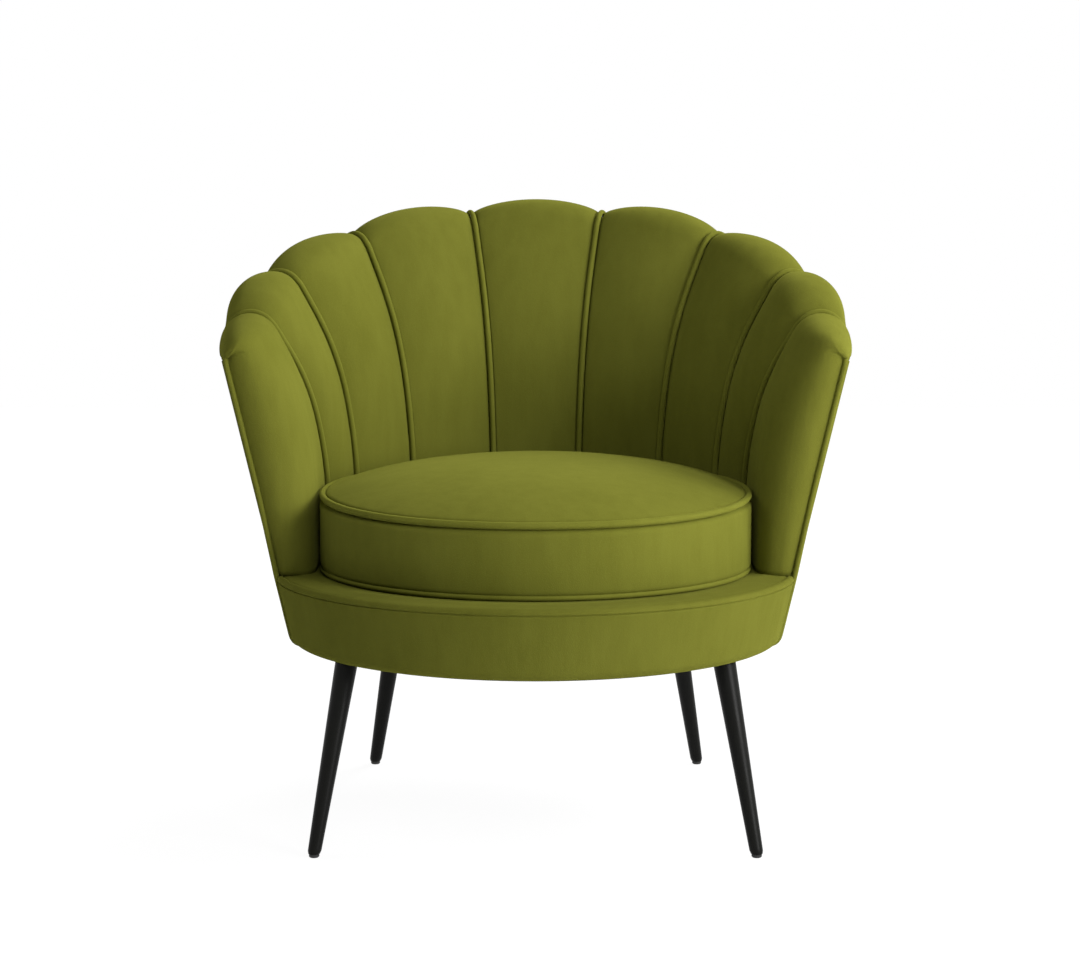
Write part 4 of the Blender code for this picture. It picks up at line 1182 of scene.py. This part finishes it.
for name, height in (("upper", TOOTH_ROW), ("lower", -TOOTH_ROW)):
    path = add_path(f"zip_teeth_{name}", polar(tape_angles[2:-2], TAPE_RADIUS + TOOTH_LIFT, ZIP_Z + height))
    teeth = grow(path, block_tree, {"Spacing": TOOTH_PITCH, "Block Size": TOOTH_SIZE, "Finish": nylon})
    mount(teeth, "cushion", "zip_tape")
    print(teeth.name, len(teeth.data.polygons), "faces")

# %% [markdown]
# Legs
#
# Each leg is a slim taper that leans outwards, lacquered black. Its shape follows a short rule: a round
# section, a straight taper, a rounded tip, and a sideways shift that grows towards the foot. So a geometry
# tree bends a plain cylinder into the leg from named sizes, and all four legs share it.


# %% Leg tree
def leg_tree():
    inputs = {"Top": "Vector", "Foot": "Vector", "Top Radius": "Float", "Foot Radius": "Float",
              "Tip Radius": "Float", "Tip Share": "Float", "Finish": "Material"}
    tree, given, result = new_tree("taper_leg", inputs)
    rod = put(tree, "GeometryNodeMeshCylinder", {"Vertices": 48, "Side Segments": 60, "Fill Segments": 3,
                                                 "Radius": 1.0, "Depth": 1.0})
    where = tree.nodes.new("GeometryNodeInputPosition").outputs[0]
    parts = put(tree, "ShaderNodeSeparateXYZ", {0: where}).outputs
    share = math_out(tree, "ADD", parts["Z"], 0.5, clamp=True)
    taper = put(tree, "ShaderNodeMix", {0: share, 2: given["Foot Radius"], 3: given["Top Radius"]}).outputs[0]
    tip = math_out(tree, "DIVIDE", share, given["Tip Share"], clamp=True)
    back = math_out(tree, "SUBTRACT", 1.0, tip)
    arc = math_out(tree, "SQRT", math_out(tree, "SUBTRACT", 1.0, math_out(tree, "MULTIPLY", back, back)))
    radius = put(tree, "ShaderNodeMix", {0: arc, 2: given["Tip Radius"], 3: taper}).outputs[0]
    flat = put(tree, "ShaderNodeCombineXYZ", {0: parts["X"], 1: parts["Y"]}).outputs[0]
    ring = vector_out(tree, "SCALE", {0: flat, "Scale": radius})
    axis = put(tree, "ShaderNodeMix", {0: share, 4: given["Foot"], 5: given["Top"]}, data_type="VECTOR")
    place = vector_out(tree, "ADD", {0: ring, 1: axis.outputs[1]})
    shaped = put(tree, "GeometryNodeSetPosition", {"Geometry": rod.outputs["Mesh"], "Position": place})
    return dress(tree, shaped.outputs[0], given["Finish"], result)


taper_tree = leg_tree()
print("leg tree has", len(taper_tree.nodes), "nodes")


# %% Lacquer
def lacquer_finish(name):
    """Black satin lacquer over a turned leg: faint long grain, soft sheen, rubbed patches."""
    material, tree, shader, where = new_finish(name)
    grain = noise_out(tree, stretched(tree, where, (240.0, 240.0, 9.0)), scale=1.0, detail=4.0)
    rubbed = noise_out(tree, where, scale=22.0, detail=3.0)
    black = blend_colour(tree, grain, (0.0030, 0.0031, 0.0025), (0.0058, 0.0059, 0.0047))
    shader.inputs["Specular IOR Level"].default_value = 0.10
    ridges = bump_out(tree, grain, strength=0.12, distance=0.0003)
    set_surface(tree, shader, black, span_out(tree, rubbed, 0.32, 0.44), ridges)
    return material


lacquer = lacquer_finish("black_lacquer")
glide_plastic = mottled_finish("glide_plastic", (0.003, 0.003, 0.0025), (0.006, 0.006, 0.005), (0.5, 0.7))
print("leg finishes:", lacquer.name, glide_plastic.name)

# %% Turn the legs
LEG_TOP_RADIUS = 0.0138
LEG_FOOT_RADIUS = 0.0080
LEG_TIP_RADIUS = 0.0070
LEG_TIP_LENGTH = 0.0035
LEG_SHARP_ANGLE = math.radians(50)
corners = ("front_left", "front_right", "rear_left", "rear_right")
for corner in corners:
    leg_low, leg_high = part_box(f"leg_{corner}")
    bolt_low, bolt_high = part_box(f"leg_bolt_{corner}")
    glide_low, glide_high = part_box(f"foot_glide_{corner}")
    top = (bolt_low + bolt_high) / 2
    foot = (glide_low + glide_high) / 2
    top.z, foot.z = leg_high.z, leg_low.z
    seed = add_mesh(f"taper_leg_{corner}", [tuple(top)], [])
    values = {"Top": top, "Foot": foot, "Top Radius": LEG_TOP_RADIUS, "Foot Radius": LEG_FOOT_RADIUS,
              "Tip Radius": LEG_TIP_RADIUS, "Tip Share": LEG_TIP_LENGTH / (top.z - foot.z), "Finish": lacquer}
    leg = tidy_mesh(grow(seed, taper_tree, values))
    leg.data.set_sharp_from_angle(angle=LEG_SHARP_ANGLE)
    mount(leg, "chair", "lacquer", f"leg_{corner}")
    print(leg.name, len(leg.data.polygons), "faces")

# %% [markdown]
# Underside
#
# A black dust cloth closes the drum from below, stapled round its edge. It is a thin sheet that sags two or
# three millimetres in the middle. The staples repeat round a circle, so they come from the same row tree as
# the zip teeth.

# %% Dust cloth and staples
cloth_low, cloth_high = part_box("dust_cover")
CLOTH_RADIUS = (cloth_high.x - cloth_low.x) / 2
CLOTH_SAG = 0.0025
SAG_SHARE = 0.72
STAPLE_SIZE = Vector((0.0105, 0.0012, 0.0008))
STAPLE_PITCH = 0.032
STAPLE_INSET = 0.007
dust_black = woven_finish("dust_cloth", (0.012, 0.012, 0.013), 300.0, 0.85)
shares = np.linspace(0.0, 1.0, 25)
angles = full_round(96)
sag = CLOTH_SAG * np.cos(np.clip(shares / SAG_SHARE, 0, 1) * math.pi / 2) ** 2
cloth_rows = zip(CLOTH_RADIUS * shares, cloth_low.z - sag)
shown = np.stack([polar(angles, radius, height) for radius, height in cloth_rows])
hidden = shown + np.array((0.0, 0.0, cloth_high.z - cloth_low.z))
dust = tidy_mesh(shell("dust_cloth_sheet", shown, hidden, dust_black), POLE_MERGE)
mount(dust, "chair", "dust_cloth", "dust_cover")
staple_ring = polar(np.linspace(0, 360, 180, endpoint=False), CLOTH_RADIUS - STAPLE_INSET,
                    cloth_low.z - STAPLE_SIZE.z / 2)
ring = add_path("dust_staples", staple_ring, closed=True)
staples = grow(ring, block_tree, {"Spacing": STAPLE_PITCH, "Block Size": STAPLE_SIZE, "Finish": zinc})
mount(staples, "chair", "zinc")
print(dust.name, len(dust.data.polygons), "faces;", staples.name, len(staples.data.polygons), "faces")

# %% [markdown]
# Hidden frame
#
# Inside the covers stand plywood rings, shaped ribs, rails and elastic webbing. They keep the shapes of the
# solids and only need finishes: plies that run as thin bands through the height of the boards, long grain
# on the timber, and a woven band on the webbing.


# %% Wood finishes
def wood_bump(tree, height):
    return bump_out(tree, height, strength=0.3, distance=0.0004)


def plywood_finish(name):
    material, tree, shader, where = new_finish(name)
    sockets = {"Vector": where, "Scale": 105.0, "Distortion": 0.6, "Detail": 2.0}
    plies = put(tree, "ShaderNodeTexWave", sockets, bands_direction="Z").outputs["Fac"]
    figure = noise_out(tree, stretched(tree, where, (6.0, 70.0, 20.0)), scale=1.0, detail=5.0)
    face = blend_colour(tree, figure, (0.46, 0.31, 0.17), (0.62, 0.46, 0.28))
    colour = blend_colour(tree, span_out(tree, plies, 0.0, 0.35), face, (0.27, 0.16, 0.08))
    set_surface(tree, shader, colour, span_out(tree, figure, 0.55, 0.75), wood_bump(tree, figure))
    return material


def timber_finish(name):
    material, tree, shader, where = new_finish(name)
    along = stretched(tree, where, (28.0, 28.0, 3.0))
    sockets = {"Vector": along, "Scale": 1.2, "Distortion": 5.0, "Detail": 3.0}
    rings = put(tree, "ShaderNodeTexWave", sockets, wave_type="RINGS").outputs["Fac"]
    fibre = noise_out(tree, stretched(tree, where, (400.0, 400.0, 12.0)), scale=1.0, detail=3.0)
    figure = blend_colour(tree, rings, (0.38, 0.24, 0.12), (0.55, 0.38, 0.21))
    colour = blend_colour(tree, span_out(tree, fibre, 0.0, 0.4), figure, (0.30, 0.18, 0.09))
    set_surface(tree, shader, colour, span_out(tree, fibre, 0.6, 0.8), wood_bump(tree, fibre))
    return material


plywood = plywood_finish("birch_plywood")
timber = timber_finish("planed_timber")
webbing = woven_finish("elastic_webbing", (0.03, 0.03, 0.03), 260.0)
finishes = {"plywood": plywood, "timber": timber, "webbing": webbing, "zinc": zinc, "glide": glide_plastic}
slots = {entry["node"]: entry["material_slot"] for entry in frame["record"]["subparts"]}
carried = 0
for name, node in frame["nodes"].items():
    if node.hide_render or slots[name] not in finishes:
        continue
    node.data.materials.clear()
    node.data.materials.append(finishes[slots[name]])
    carried += 1
print("solids that keep their shape:", carried)

# %% [markdown]
# Light, floor and camera
#
# The photograph is a plain studio shot with most of its light from the right. Five large soft lamps stand in
# a ring: a low key lamp at the front right, one at the right side and one at the rear right, and two weak
# ones at the front and the left. The lamps are set for the velvet, and the white comes from the floor and
# the world, which show white to the camera and in reflections. A little of the floor's own shading stays,
# so the chair keeps a soft shadow. The camera stands where a fit of the outline, seams and feet puts it.


# %% Lamps
LAMP_AIM = Vector((0.0, 0.0, 0.42))
LAMP_DISTANCE = 3.2
LAMP_SIZE = 1.5
LAMPS = (("key_lamp", 48, 14, 61), ("side_lamp", 83, 31, 54), ("front_lamp", 10, 42, 26),
         ("rear_lamp", 140, 42, 68), ("left_lamp", -100, 42, 16))


def add_lamp(name, azimuth, elevation, power):
    """Round soft lamp; azimuth 0 stands in front of the chair and 90 on its +X side."""
    around, up = math.radians(azimuth), math.radians(elevation)
    level = LAMP_DISTANCE * math.cos(up)
    lamp = bpy.data.lights.new(name, "AREA")
    lamp.shape = "DISK"
    lamp.size = LAMP_SIZE
    lamp.energy = power
    item = bpy.data.objects.new(name, lamp)
    item.location = LAMP_AIM + Vector((level * math.sin(around), -level * math.cos(around),
                                       LAMP_DISTANCE * math.sin(up)))
    item.rotation_euler = (LAMP_AIM - item.location).to_track_quat("-Z", "Y").to_euler()
    bpy.context.scene.collection.objects.link(item)
    return item


lamps = [add_lamp(*lamp) for lamp in LAMPS]
print("lamps:", [lamp.name for lamp in lamps])


# %% Floor and world
def shown_white(tree):
    """1 for rays that show the background itself: camera, mirror and glass rays."""
    path = tree.nodes.new("ShaderNodeLightPath").outputs
    direct = math_out(tree, "MAXIMUM", path["Is Camera Ray"], path["Is Glossy Ray"])
    return math_out(tree, "MAXIMUM", direct, path["Is Transmission Ray"])


FLOOR_REACH = 6.0
FLOOR_PAINT = (0.88, 0.88, 0.88, 1.0)
WHITE = (1.0, 1.0, 1.0, 1.0)
SHOWN_SHADE = (0.10, 0.10, 0.10, 1.0)
SHOWN_GLOW = (0.95, 1.0)
GLOW_REACH = (0.5, 1.1)
WORLD_LIGHT = 0.02
floor_corners = [(-FLOOR_REACH, -FLOOR_REACH, 0), (FLOOR_REACH, -FLOOR_REACH, 0),
                 (FLOOR_REACH, FLOOR_REACH, 0), (-FLOOR_REACH, FLOOR_REACH, 0)]
floor = add_mesh("floor", floor_corners, [(0, 1, 2, 3)])
floor_paint = bpy.data.materials.new("floor_paint")
floor_paint.use_nodes = True
tree = floor_paint.node_tree
tree.nodes.clear()
paint = put(tree, "ShaderNodeBsdfDiffuse", {"Color": FLOOR_PAINT}).outputs[0]
faint = put(tree, "ShaderNodeBsdfDiffuse", {"Color": SHOWN_SHADE}).outputs[0]
where = tree.nodes.new("ShaderNodeTexCoord").outputs["Object"]
far_off = put(tree, "ShaderNodeVectorMath", {0: where}, operation="LENGTH").outputs["Value"]
level = span_out(tree, far_off, *SHOWN_GLOW, *GLOW_REACH)
glow = put(tree, "ShaderNodeEmission", {"Color": WHITE, "Strength": level}).outputs[0]
shown = put(tree, "ShaderNodeAddShader", {0: faint, 1: glow}).outputs[0]
both = put(tree, "ShaderNodeMixShader", {0: shown_white(tree), 1: paint, 2: shown}).outputs[0]
put(tree, "ShaderNodeOutputMaterial", {"Surface": both})
floor.data.materials.append(floor_paint)
world = bpy.data.worlds.new("studio")
bpy.context.scene.world = world
world.use_nodes = True
tree = world.node_tree
tree.nodes.clear()
glow = put(tree, "ShaderNodeBackground", {"Color": WHITE, "Strength": WORLD_LIGHT}).outputs[0]
bright = put(tree, "ShaderNodeBackground", {"Color": WHITE, "Strength": 1.0}).outputs[0]
both = put(tree, "ShaderNodeMixShader", {0: shown_white(tree), 1: glow, 2: bright}).outputs[0]
put(tree, "ShaderNodeOutputWorld", {"Surface": both})
bpy.context.scene.view_settings.view_transform = "Standard"
print("floor and world are white to the camera")

# %% Camera
CAMERA_LENS = 82.88
CAMERA_SENSOR = 36.0
CAMERA_PITCH = 6.51
CAMERA_PLACE = (0.0054, -3.1463, 0.7759)
camera = bpy.data.objects.new("camera", bpy.data.cameras.new("camera"))
camera.data.sensor_width = CAMERA_SENSOR
camera.data.lens = CAMERA_LENS
camera.location = CAMERA_PLACE
camera.rotation_euler = (math.radians(90.0 - CAMERA_PITCH), 0.0, 0.0)
bpy.context.scene.collection.objects.link(camera)
bpy.context.scene.camera = camera
print("camera lens", CAMERA_LENS, "mm")
